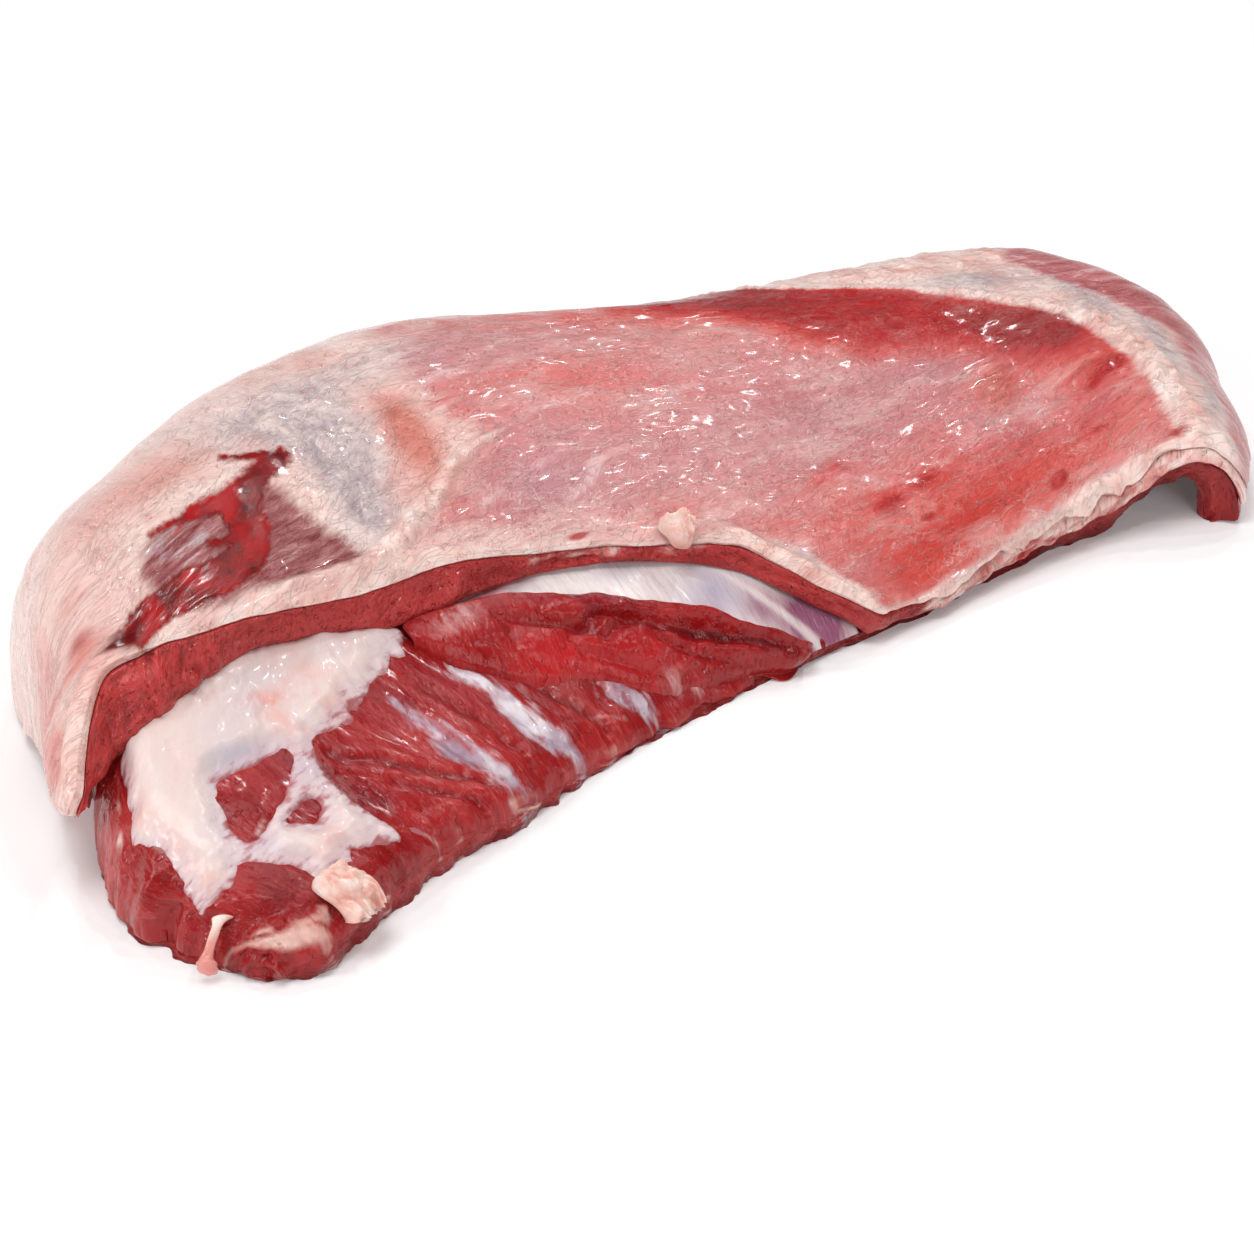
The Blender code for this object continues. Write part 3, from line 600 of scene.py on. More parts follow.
def rib_form(rib, film, number):
    (near_s, near_t), (far_s, far_t) = rib

    def form(u, v, w):
        along = u * 1.04 - 0.02
        s = near_s + (far_s - near_s) * along
        t = near_t + (far_t - near_t) * along
        out = outward(s, t)
        ahead = top(s + (far_s - near_s) * 0.01, t + (far_t - near_t) * 0.01) - top(s, t)
        aside = np.cross(out, ahead)
        aside /= np.linalg.norm(aside, axis=-1, keepdims=True)
        taper = 0.62 + 0.38 * np.sqrt(np.sin(math.pi * np.clip(along, 0.03, 0.97)))
        x = v * 2 - 1
        side = RIB_WIDTH / 2 * taper * (1 + 0.13 * hills(along * 6 + number, x * 1.5, 21, 2)) * x
        sunk = 0.0007 + 0.0022 * (smooth(0.7, 0.98, along) + smooth(0.12, 0.0, along))
        crown = 0.0015 * (1 - x * x) - sunk + 0.0002 * hills(along * 14 + number, x * 2, 22, 2)
        high = np.where(w > 0.5, crown, -RIB_HEIGHT * 0.6 * np.sqrt(np.clip(1 - x * x, 0, 1)) - 0.002)
        points = top(s, t) + aside * side[:, None] + out * high[:, None]
        marks = {
            "place": place_mark(s - side / RUN_LENGTH, t, 0.03),
            "film": trail(s - side / RUN_LENGTH, t, film),
            "fascia": 0 * s - 1, "fatty": 0 * s - 1, "dark": 0 * s,
        }
        return points, marks

    return form


rib_finish = moist_finish("rib_finish", paint_rib_meat, 0.3, 0.2, 0.0008)
for number, (rib, film) in enumerate(zip(RIBS, RIB_FILMS), 1):
    bone = laid_piece(f"rib_{number}_skin", 80, 26, 1, rib_form(rib, film, number), 0)
    dress(bone, rib_finish, "rib_bone", f"rib_bone_{number}")


# ---- The brisket fat ----
# A sheet of hard white fat over the breast end of the ribs, torn and trimmed at its borders, with a
# window where dark meat shows through and a bluish ring of membrane round the window's upper end.

BRISKET_FAT_THICKNESS = 0.0025
BRISKET_FAT_EDGE = [
    (0.05, 0.52), (0.034, 0.482), (0.029, 0.411), (0.02, 0.362), (0.023, 0.279), (0.022, 0.203),
    (0.018, 0.146), (0.03, 0.15), (0.051, 0.167), (0.066, 0.135), (0.074, 0.08), (0.066, 0.03),
    (0.1, 0.06), (0.126, 0.06), (0.14, 0.03), (0.142, 0.11), (0.146, 0.185), (0.152, 0.232),
    (0.18, 0.252), (0.208, 0.262), (0.226, 0.284), (0.252, 0.29), (0.268, 0.325), (0.262, 0.375),
    (0.2, 0.43),
    (0.1, 0.49),
]
WINDOW_EDGE = [
    (0.136, 0.262), (0.133, 0.236), (0.122, 0.214), (0.098, 0.196), (0.07, 0.182), (0.066, 0.205),
    (0.076, 0.255), (0.088, 0.296), (0.112, 0.276),
]
# Where the fat is thin and bluish, and where it is rosy: s, t, size in metres, turn and strength.
BLUE_FAT = [
    (0.108, 0.3, 0.01, 0.0035, -20, 1), (0.138, 0.225, 0.006, 0.006, 0, 0.7),
    (0.075, 0.16, 0.003, 0.009, 0, 0.6), (0.14, 0.36, 0.02, 0.006, 0, 0.4),
]
ROSY_FAT = [
    (0.17, 0.3, 0.014, 0.009, 0, 1), (0.155, 0.335, 0.012, 0.002, -25, 0.8),
    (0.1, 0.1, 0.012, 0.006, 0, 0.5),
]
FAT_CREAM = (230, 208, 201)
FAT_WHITE = (226, 210, 209)
FAT_PINK = (230, 194, 183)


def paint_brisket_fat(wire):
    place = wire.place()
    clouds = place.spots(45, 3)
    color = clouds.ramp([(0.3, FAT_WHITE), (0.55, FAT_CREAM), (0.75, FAT_PINK)])
    veins = place.spots(60, 5, (1, 1, 1), 0, 0.6, 1.2)
    thin = veins.steps(0.47, 0.5) * (1 - veins.steps(0.5, 0.53)) * place.spots(40, 2).steps(0.55, 0.65)
    color = (thin * 0.2).tint(color, (222, 130, 116))
    color = (wire.mark("blue") * (0.4 + clouds)).tint(color, (186, 180, 192))
    rosy = wire.mark("rosy") * place.spots(80, 3).steps(0.35, 0.65)
    color = rosy.tint(color, (226, 160, 148))
    frayed = (place.spots(200, 5, (1, 3.4, 1), 66) - 0.5) * 5.0 + (place.spots(110, 3) - 0.5) * 1.5
    thickness = wire.mark("thick") * 1100 + frayed
    color = ((1 - thickness.steps(0.7, 3.0)) * 0.6).tint(color, (206, 182, 192))
    color = ((1 - thickness.steps(-0.1, 1.3)) * 0.85).tint(color, (166, 74, 78))
    return color, 0.18 + 0.24 * clouds, place.spots(70, 4) * 0.7 + place.spots(300, 3) * 0.25


def brisket_fat_form(u, v, w):
    s, t = 0.014 + 0.273 * u, 0.012 + 0.53 * v
    along, across = s * RUN_LENGTH, t * RUN_WIDTH
    ragged = 0.0012 * hills(along / 0.004, across / 0.004, 31, 3)
    inside = zone(s, t, BRISKET_FAT_EDGE) + ragged
    window = zone(s, t, WINDOW_EDGE, 30)
    small = trail(s, t, [(0.1, 0.17, 0.0012), (0.114, 0.16, 0.0034), (0.122, 0.166, 0.0026)])
    openings = np.maximum(window, small) + 0.5 * ragged
    depth = np.minimum(inside, -openings)
    swell = 0.72 + 0.28 * hills(along / 0.012, across / 0.012, 32, 3)
    rim = smooth(-0.0002, 0.008, inside) * smooth(-0.0002, 0.0075, -openings)
    thickness = (BRISKET_FAT_THICKNESS * swell + 0.0005) * rim
    height = np.where(depth < 0, -0.0016 * smooth(0, 0.002, -depth), thickness)
    height = height + 2 * GAP * smooth(-0.001, 0.001, depth)
    points = above(s, t, np.where(w > 0.5, height, np.minimum(height, 0) - 0.001))
    marks = {
        "place": place_mark(s, t),
        "blue": patches(s, t, *BLUE_FAT),
        "rosy": patches(s, t, *ROSY_FAT) + 0.7 * smooth(0.05, 0.02, s),
        "thick": height,
    }
    return points, marks


brisket_fat_finish = moist_finish("brisket_fat_finish", paint_brisket_fat, 0.1, 0.25, 0.001)
brisket_fat = laid_piece("brisket_fat_skin", 150, 100, 1, brisket_fat_form, 0)
dress(brisket_fat, brisket_fat_finish, "brisket_fat", "brisket_fat")


# ---- The inner muscle ----
# A thick dark muscle that runs under the flap's cut and folds over the ribs: a rolled lip above, a
# deep crease below it, softer bright folds below that, and a round lobe that hangs over the front.

MUSCLE_GAP = 0.002
MUSCLE_START, MUSCLE_END = 0.272, 0.552
MUSCLE_LIP = [
    (0.272, 0.331), (0.3, 0.318), (0.345, 0.289), (0.39, 0.24), (0.445, 0.175), (0.48, 0.12),
    (0.515, 0.055), (0.552, 0.012),
]
MUSCLE_FOOT = [
    (0.272, 0.29), (0.28, 0.262), (0.3, 0.205), (0.335, 0.13), (0.37, 0.105), (0.4, 0.045),
    (0.43, 0.012), (0.552, 0.003),
]
MUSCLE_THICKNESS = 0.0085
LOBE_PLACE = 0.532


def paint_inner_muscle(wire):
    place = wire.place()
    color, fibres, mottle = meat_colour(place, -14)
    color = (wire.mark("bright") * 0.8).tint(color, (190, 30, 34))
    # Painted shade darkens the creases and the band under the lip.
    color = (wire.mark("crease") * 0.7).tint(color, (92, 6, 10))
    silver = (wire.mark("skin") * (place.spots(130, 4, (3, 1, 1), -14) * 1.6)).steps(0.45, 1.1)
    color = (silver * 0.75).tint(color, (206, 158, 156))
    return color, 0.05 + 0.16 * mottle, fibres * 0.4 + wet_bumps(place, -14)


# The creases between the folds below the lip, darkened by painted shade: s, t and half the width.
CREASES = [
    [(0.395, 0.195, 0.0004), (0.43, 0.145, 0.0016), (0.47, 0.092, 0.0024), (0.51, 0.04, 0.002),
     (0.535, 0.012, 0.001)],
    [(0.33, 0.262, 0.0003), (0.356, 0.222, 0.001), (0.38, 0.185, 0.0008), (0.392, 0.15, 0.0003)],
    [(0.43, 0.11, 0.0003), (0.455, 0.06, 0.0012), (0.49, 0.022, 0.0008)],
    [(0.31, 0.245, 0.0002), (0.332, 0.185, 0.0008), (0.346, 0.15, 0.0003)],
    [(0.372, 0.15, 0.0003), (0.4, 0.095, 0.0009), (0.425, 0.05, 0.0003)],
]


def inner_muscle_form(u, v, w):
    run = 0.5 * u + 0.25 * (1 - np.cos(math.pi * u))
    s = MUSCLE_START + (MUSCLE_END + 0.004 - MUSCLE_START) * run
    foot, lip = profile(MUSCLE_FOOT, s), profile(MUSCLE_LIP, s)
    t = foot + (lip - foot) * v
    along, across = s * RUN_LENGTH, t * RUN_WIDTH
    ends_down = rounded(run * 0.115, 0.03) * rounded((1 - run) * 0.115, 0.007)
    roll = 0.3 * bump(v, 0.86, 0.16) * smooth(0.12, 0.4, run)
    full = (0.7 * smooth(0.0, 0.55, v) + roll) * (0.42 + 0.58 * smooth(0.0, 0.4, run))
    sway = 0.5 * hills(along / 0.016, across / 0.01, 44, 2)
    lumps = 1 + 0.16 * hills(along / 0.011 + 3, across / 0.006 + along / 0.02, 42, 3)
    folds = np.abs(hills(along / 0.016 + sway, across / 0.0085 - along / 0.03 + sway, 45, 2))
    lumps = lumps + (0.5 - 0.36 * smooth(0.7, 0.86, v)) * (0.4 - folds)
    crease = smooth(-0.0016, 0.0012, deepest(s, t, CREASES))
    grain = 0.00012 * hills(along / 0.01 + across / 0.01, across / 0.0018 - along / 0.004, 43, 2)
    thickness = MUSCLE_THICKNESS * ends_down * full * lumps * (1 - 0.48 * crease) + grain
    thickness = thickness + 0.003 * bump(s, LOBE_PLACE, 0.012) * np.sin(math.pi * v)
    low = MUSCLE_GAP * smooth(0.0, 0.35, v) * (1 - smooth(0.88, 1.0, run))
    low = low - 0.0024 * (1 - smooth(0.0, 0.14, v)) - 0.003 * smooth(0.965, 1.0, run)
    under, over = above(s, t, low - 0.0004), above(s, t, low + 0.0006 + np.maximum(thickness, 0))
    points = under + (over - under) * w[:, None]
    points[:, 1] += np.sin(math.pi * w) * np.where(v > 0.999, 0.0014, 0.0) * ends_down
    # A round lobe hangs over the front at the muscle's right end.
    lobe = bump(s, LOBE_PLACE, 0.017) * (1 - smooth(0.3, 1.0, v)) * np.sin(math.pi * (0.15 + 0.7 * w))
    points[:, 0] -= 0.003 * lobe
    points[:, 1] -= 0.006 * lobe
    points[:, 2] = np.maximum(points[:, 2] - 0.002 * lobe, 0.0005)
    # Under the lip the crease mark paints shade.
    shade_under_lip = bump(v, 0.62, 0.1) * smooth(0.2, 0.5, run)
    marks = {
        "place": place_mark(s, t, w * thickness),
        "crease": smooth(0.0, 0.0022, deepest(s, t, CREASES)) + 0.4 * shade_under_lip,
        "bright": patches(s, t, (0.352, 0.16, 0.009, 0.006, 0, 1), (0.42, 0.11, 0.03, 0.008, 0, 0.6)),
        "skin": patches(s, t, (0.308, 0.285, 0.014, 0.006, 0, 1), (0.425, 0.04, 0.007, 0.008, 0, 0.9)),
    }
    return points, marks


inner_muscle_finish = moist_finish("inner_muscle_finish", paint_inner_muscle, relief=0.0015)
inner_muscle = laid_piece("inner_muscle_skin", 170, 64, 7, inner_muscle_form, 3)
dress(inner_muscle, inner_muscle_finish, "inner_muscle", "inner_muscle")


# ---- The silverskin ----
# A tight shiny membrane over the ribs between the inner muscle and the flap: milky white with bluish
# bands where it is thin, and purple at its front corner, where the meat below shows through.

SKIN_START, SKIN_END = 0.315, 0.603
SKIN_BEHIND_LIP = 0.016
SKIN_UNDER_FLAP = 0.035
SKIN_NEAREST = 0.012
SKIN_THICKNESS = 0.0011
SKIN_STRIPE = [(0.515, 0.23, 0.001), (0.545, 0.1, 0.0016), (0.565, 0.0, 0.002)]
# Where the membrane is bluish, purple or red: s, t, size in metres, turn and strength.
BLUE_SKIN = [
    (0.505, 0.175, 0.012, 0.01, 20, 1), (0.36, 0.31, 0.012, 0.003, 0, 0.7),
    (0.45, 0.27, 0.01, 0.004, 0, 0.5),
]
PURPLE_SKIN = [(0.57, 0.055, 0.012, 0.012, 30, 1.5), (0.53, 0.12, 0.006, 0.006, 0, 0.6)]
RED_SKIN = [(0.35, 0.318, 0.016, 0.002, 0, 1), (0.49, 0.135, 0.004, 0.004, 0, 0.6)]
CUT_LINE = [
    (0.0, 0.68), (0.012, 0.56), (0.035, 0.475), (0.095, 0.435), (0.147, 0.43), (0.205, 0.39),
    (0.265, 0.34), (0.315, 0.32), (0.36, 0.315), (0.435, 0.29), (0.495, 0.245), (0.535, 0.19),
    (0.555, 0.13), (0.592, 0.03), (0.61, 0.0), (1.0, 0.0),
]


def paint_silverskin(wire):
    place = wire.place()
    bands = place.spots(60, 4, (3.2, 1, 1), 24)
    threads = place.spots(160, 3, (5, 1, 1), 24)
    color = bands.ramp([(0.28, (204, 192, 200)), (0.42, (238, 226, 224)), (0.7, (250, 244, 240))])
    color = (wire.mark("blue") * (bands * 0.6 + 0.5)).tint(color, (170, 158, 180))
    color = (wire.mark("purple") * (0.75 + threads * 0.7)).tint(color, (150, 92, 118))
    color = (wire.mark("stripe") * 0.8).tint(color, (232, 220, 218))
    color = (wire.mark("red") * (0.4 + bands)).tint(color, (168, 78, 80))
    return color, 0.06 + 0.14 * bands, bands * 1.0 + threads * 0.5


def silverskin_form(u, v, w):
    s = SKIN_START + (SKIN_END - SKIN_START) * u
    low = np.where(s > MUSCLE_END, 0.0, profile(MUSCLE_LIP, s) + SKIN_BEHIND_LIP - 0.012)
    low = np.maximum(low, 0.004)
    high = np.maximum(profile(CUT_LINE, s) + SKIN_UNDER_FLAP, low + SKIN_NEAREST)
    t = low + (high - low) * v
    ripple = 0.0006 * hills(s * RUN_LENGTH / 0.012 + t * 2, t * RUN_WIDTH / 0.03, 51, 2)
    points = above(s, t, GAP + w * SKIN_THICKNESS + ripple + 0.0003)
    marks = {
        "place": place_mark(s, t),
        "blue": patches(s, t, *BLUE_SKIN),
        "purple": patches(s, t, *PURPLE_SKIN),
        "stripe": smooth(-0.0008, 0.0012, trail(s, t, SKIN_STRIPE)),
        "red": patches(s, t, *RED_SKIN),
    }
    return points, marks


silverskin_finish = moist_finish("silverskin_finish", paint_silverskin, 0.3, 0.2, 0.001)
silverskin = laid_piece("silverskin_skin", 150, 50, 1, silverskin_form, 0)
dress(silverskin, silverskin_finish, "silverskin", "silverskin")


# ---- The flap's meat ----
# The belly muscle folded over the ribs. Only its cut face shows, a dark red band along the ribs that
# thins towards the flank, and the thin muscle round the flank end, which droops to a tongue.

FLAP_GAP = 0.0013
SHEET_THICKNESS = 0.0016
FAT_THICKNESS = 0.0022
COVER_THICKNESS = FAT_THICKNESS + SHEET_THICKNESS + 3 * GAP
FLAP_START = 0.0008
CUT_THICKNESS = [
    (0.0, 0.01), (0.02, 0.016), (0.05, 0.018), (0.12, 0.0145), (0.26, 0.0135), (0.33, 0.011),
    (0.4, 0.0075), (0.45, 0.0062), (0.49, 0.0066), (0.53, 0.0095), (0.6, 0.0095), (0.66, 0.0075),
    (1.0, 0.0085),
]
INNER_THICKNESS = [(0.0, 0.009), (0.03, 0.0125), (0.4, 0.012), (0.6, 0.011), (1.0, 0.0095)]
# The outer edge of the flap's fat: s and t. It stands back from the cut, so that the cut face slopes.
COVER_RIM = [
    (0.0, 0.66), (0.005, 0.56), (0.01, 0.47), (0.015, 0.425), (0.021, 0.418), (0.03, 0.453),
    (0.041, 0.509), (0.051, 0.545), (0.081, 0.511), (0.115, 0.475), (0.151, 0.446), (0.189, 0.414),
    (0.235, 0.382), (0.271, 0.368), (0.308, 0.357), (0.372, 0.328), (0.435, 0.3), (0.505, 0.249),
    (0.529, 0.217), (0.555, 0.147), (0.596, 0.032), (0.624, 0.006), (1.0, 0.006),
]


def paint_flap_muscle(wire):
    place = wire.place()
    color, fibres, mottle = meat_colour(place, 70)
    color = (wire.mark("light") * (mottle * 0.9 + 0.15)).tint(color, (204, 70, 68))
    lumps = place.spots(95, 4)
    creamy = lumps.ramp([(0.36, (196, 84, 80)), (0.5, (222, 158, 150)), (0.64, (242, 212, 204))])
    pale = (wire.mark("pale") + (lumps - 0.5) * 1.4 + (mottle - 0.5) * 0.8).steps(0.35, 0.75)
    color = pale.tint(color, creamy)
    # Painted shade at the cut face's foot and between its ropes, and darker meat where it is thin.
    color = (wire.mark("dark") * 0.8).tint(color, (90, 14, 18))
    return color, 0.05 + 0.16 * mottle, fibres * 0.5 + wet_bumps(place, 70) * 1.2


def thin_end(s, t):
    """Where the flap thins towards its flank end."""
    return smooth(0.92, 0.985, s) * (1 - smooth(0.25, 0.6, t))


def flap_thickness(s, t, cut):
    """How thick the whole flap is, from its cut edge inwards."""
    inside = smooth(0.0, 0.032, (t - cut) * RUN_WIDTH)
    at_cut, full = profile(CUT_THICKNESS, s), profile(INNER_THICKNESS, s)
    return at_cut + (full - at_cut) * inside


def flap_base(s, t, cut):
    """The height of the flap's lower face, which lifts over the inner muscle."""
    lifted = smooth(0.27, 0.33, s) * (1 - smooth(0.6, 0.63, s))
    return FLAP_GAP + 0.0018 * lifted * (1 - smooth(0.04, 0.1, t - cut))


def muscle_top(s, t, cut):
    """The height of the flap muscle's upper face, under the fat."""
    rim = profile(COVER_RIM, s)
    at_cut = 0.0027 * smooth(0.05, 0.09, s) * (1 - smooth(0.0, 0.016, (t - rim) * RUN_WIDTH))
    meat = np.maximum(flap_thickness(s, t, cut) - COVER_THICKNESS, 0.0011) + at_cut
    return meat * (1 - 0.7 * thin_end(s, t)) + flap_base(s, t, cut)


def flap_place(u, v, nearest, end):
    """Rows crowd where the ends round down, and columns near the cut, where the piece starts."""
    run = profile([(0, 0), (0.1, 0.012), (0.19, 0.05), (0.93, 0.955), (1, 1)], u)
    s = FLAP_START + (1 - end - FLAP_START) * run
    near = nearest(s)
    reach = profile([(0, 0), (0.12, 0.05), (0.84, 0.83), (0.95, 0.97), (1, 1)], v)
    return s, near + (1.0 - near) * reach, profile(CUT_LINE, s)


def flap_muscle_form(u, v, w):
    def slope(s):
        cut, rim = profile(CUT_LINE, s), profile(COVER_RIM, s)
        return cut + (rim - cut) * w

    s, t, cut = flap_place(u, v, slope, 0.0015)
    low, high = flap_base(s, t, cut), muscle_top(s, t, cut)
    depth = (high - low) * w
    points = above(s, t, low + depth)
    out = plan(s, np.clip(t + 0.01, 0, 1)) - plan(s, t)
    out /= np.maximum(np.linalg.norm(out, axis=-1, keepdims=True), 1e-9)
    crags = 0.0004 + 0.0016 * hills(s * 75, w * 2.6 + s * 9, 62, 3) + 0.0006 * bump(w, 0.25, 0.2)
    rope = np.abs(hills(s * 110 + w, w * 3.4 - s * 30, 63, 2))
    left = 1 - smooth(0.1, 0.22, s)
    ropes = 0.0042 * rope * left
    lumpy = 0.003 * np.abs(hills(s * 60, w * 2 + 4, 64, 2)) * smooth(0.64, 0.7, s)
    crags = crags + ropes + lumpy
    points[:, :2] -= out * (bump(v, 0, 0.02) * np.sin(math.pi * np.clip(w, 0.1, 0.9)) * crags)[:, None]
    # Pale fat on the cut face; painted shade at its foot and between its ropes; darker where it is
    # thin.
    pale = 0.85 * smooth(0.64, 0.68, s) * smooth(0.12, 0.4, w) + 0.45 * smooth(0.93, 0.97, s) * (1 - w)
    pale = pale + 0.45 * smooth(0.34, 0.42, s) * (1 - smooth(0.5, 0.53, s)) * smooth(0.3, 0.8, w)
    dark = 0.7 * smooth(0.06, 0.02, s) * smooth(0.2, 0.0, w)
    dark = dark + 0.6 * left * (1 - smooth(0.0, 0.22, rope))
    dark = dark + 0.25 * smooth(0.52, 0.6, s) * (1 - smooth(0.62, 0.8, s))
    marks = {
        "place": place_mark(s, t + depth / RUN_WIDTH, depth),
        "pale": pale,
        "light": 1 - 0.4 * smooth(0.55, 0.65, s),
        "dark": dark,
    }
    return points, marks


flap_muscle_finish = moist_finish("flap_muscle_finish", paint_flap_muscle, relief=0.0024)
flap_muscle = laid_piece("flap_muscle_skin", 320, 60, 12, flap_muscle_form, 2)
dress(flap_muscle, flap_muscle_finish, "flap_muscle", "flap_muscle")


# ---- The flap's fat ----
# The outer layer: cream and pink fat under a moist skin, thick and wrinkled where it folds round the
# breast end, blue-grey over a soft cushion, streaked with blood where a patch of muscle lies bare.

RIDGE = [
    (0.0, 0.262), (0.36, 0.268), (0.42, 0.305), (0.465, 0.335), (0.51, 0.365), (0.6, 0.36),
    (0.8, 0.372), (1.0, 0.4),
]
FAR_BORDER = [
    (0.0, 0.968), (0.014, 0.957), (0.042, 0.946), (0.118, 0.928), (0.2, 0.918), (0.275, 0.913),
    (0.361, 0.902), (0.448, 0.888), (0.524, 0.87), (0.579, 0.848), (0.656, 0.818), (0.711, 0.798),
    (0.765, 0.758), (0.82, 0.715), (0.9, 0.67), (1.0, 0.64),
]
FLANK_BORDER = [
    (0.0, 0.985), (0.2, 0.966), (0.264, 0.962), (0.371, 0.957), (0.404, 0.948), (0.466, 0.938),
    (0.514, 0.929), (0.585, 0.917), (0.663, 0.912), (0.74, 0.918), (0.82, 0.94), (1.0, 1.0),
]
SHEET_BACK = 0.94
# The trail of blood and its smears: s, t and half the width.
BLOOD_TRAILS = [
    [(0.24, 0.672, 0.003), (0.212, 0.655, 0.0034), (0.187, 0.63, 0.0056), (0.183, 0.58, 0.006),
     (0.172, 0.535, 0.005), (0.13, 0.545, 0.005), (0.096, 0.566, 0.0044), (0.07, 0.572, 0.005),
     (0.052, 0.57, 0.0014)],
    [(0.186, 0.64, 0.003), (0.16, 0.665, 0.0018), (0.12, 0.69, 0.0004)],
    [(0.15, 0.6, 0.0004), (0.165, 0.585, 0.0012), (0.18, 0.58, 0.003)],
    [(0.115, 0.59, 0.0006), (0.14, 0.56, 0.0014), (0.15, 0.545, 0.003)],
    [(0.234, 0.69, 0.0016), (0.222, 0.705, 0.0009), (0.206, 0.735, 0.0007)],
]
BARE_MUSCLE = [
    (0.214, 0.65), (0.228, 0.59), (0.238, 0.52), (0.246, 0.42), (0.225, 0.425), (0.195, 0.445),
    (0.16, 0.48), (0.12, 0.505), (0.1, 0.545), (0.09, 0.6), (0.095, 0.665), (0.13, 0.69),
    (0.17, 0.68),
]
RED_BAND = [
    (0.6, 0.86), (0.645, 0.805), (0.662, 0.745), (0.676, 0.685), (0.691, 0.625), (0.713, 0.575),
    (0.743, 0.546), (0.775, 0.528), (0.807, 0.506), (0.836, 0.455), (0.87, 0.42), (0.88, 0.45),
    (0.865, 0.53), (0.84, 0.6), (0.815, 0.665), (0.79, 0.725), (0.75, 0.79), (0.7, 0.9), (0.64, 0.97),
]
# Where the pink of the sheet begins, which is partly ahead of its border: t and s.
SHEET_FLUSH = [
    (0.0, 0.262), (0.36, 0.275), (0.42, 0.315), (0.47, 0.345), (0.53, 0.362), (0.6, 0.345),
    (0.7, 0.338), (0.8, 0.36), (1.0, 0.39),
]
# Soft spots of colour on the flap: s, t, size along and across in metres, turn and strength.
FLUSHES = [
    (0.885, 0.36, 0.014, 0.02, 0, 0.34), (0.895, 0.27, 0.008, 0.003, 20, 0.35),
    (0.872, 0.157, 0.012, 0.008, 0, 0.26), (0.8, 0.36, 0.007, 0.01, 0, 0.36),
    (0.7, 0.17, 0.045, 0.017, 0, 0.26), (0.76, 0.1, 0.03, 0.009, 0, 0.16),
    (0.701, 0.23, 0.006, 0.003, 0, 0.35), (0.663, 0.212, 0.006, 0.003, 0, 0.4),
    (0.64, 0.329, 0.004, 0.003, 0, 0.35), (0.84, 0.47, 0.022, 0.014, 0, 0.3),
    (0.8, 0.2, 0.012, 0.01, 0, 0.14), (0.66, 0.06, 0.02, 0.008, 0, 0.2),
    (0.62, 0.3, 0.006, 0.004, 0, 0.22), (0.5, 0.63, 0.02, 0.006, 0, 0.14),
    (0.415, 0.305, 0.006, 0.0015, 0, 0.5), (0.48, 0.315, 0.012, 0.003, 0, 0.22),
    (0.36, 0.58, 0.012, 0.014, 0, 0.06), (0.43, 0.6, 0.03, 0.016, 0, 0.1),
    (0.62, 0.82, 0.03, 0.012, 0, 0.3), (0.9, 0.2, 0.02, 0.015, 0, 0.1),
    (0.58, 0.55, 0.03, 0.006, -12, 0.14), (0.4, 0.5, 0.02, 0.005, -20, 0.14),
]
HAZES = [
    (0.42, 0.44, 0.022, 0.016, 0, 0.95), (0.68, 0.42, 0.04, 0.02, 0, 0.65),
    (0.58, 0.5, 0.035, 0.018, 0, 0.35), (0.38, 0.74, 0.022, 0.01, 0, 0.55),
    (0.46, 0.74, 0.03, 0.007, 0, 0.4), (0.8, 0.27, 0.02, 0.012, 0, 0.55),
    (0.5, 0.4, 0.022, 0.01, 0, 0.25), (0.76, 0.46, 0.025, 0.006, -15, 0.5),
    (0.88, 0.2, 0.012, 0.006, 0, 0.4), (0.61, 0.09, 0.01, 0.006, 0, 0.4),
]
BLUES = [
    (0.3, 0.61, 0.015, 0.018, -20, 0.9), (0.268, 0.7, 0.018, 0.012, -25, 0.8),
    (0.272, 0.56, 0.009, 0.022, 0, 0.8), (0.225, 0.79, 0.024, 0.009, -20, 0.6),
    (0.32, 0.78, 0.03, 0.01, -10, 0.75), (0.285, 0.49, 0.01, 0.008, 10, 0.45),
    (0.4, 0.8, 0.022, 0.006, 0, 0.5), (0.862, 0.675, 0.02, 0.009, 0, 1.1),
    (0.918, 0.53, 0.007, 0.018, 0, 1.1), (0.945, 0.34, 0.005, 0.022, 0, 1.1),
    (0.964, 0.16, 0.004, 0.018, 0, 1.0), (0.575, 0.165, 0.005, 0.006, 0, 0.6),
    (0.8, 0.018, 0.016, 0.0022, 0, 0.9), (0.565, 0.15, 0.004, 0.005, 0, 0.5),
    (0.72, 0.014, 0.012, 0.0016, 0, 0.7), (0.88, 0.04, 0.008, 0.003, 0, 0.6),
]
ORANGES = [
    (0.347, 0.6, 0.008, 0.018, 0, 1), (0.155, 0.78, 0.02, 0.006, 0, 0.5),
    (0.795, 0.36, 0.007, 0.01, 0, 0.55),
]
ROSES = [
    (0.13, 0.82, 0.03, 0.005, 0, 0.4), (0.2, 0.9, 0.05, 0.006, 0, 0.35),
    (0.045, 0.6, 0.004, 0.006, 0, 0.72),
]
SILVERS = [(0.12, 0.65, 0.012, 0.008, 20, 1), (0.15, 0.62, 0.006, 0.005, 0, 0.6)]
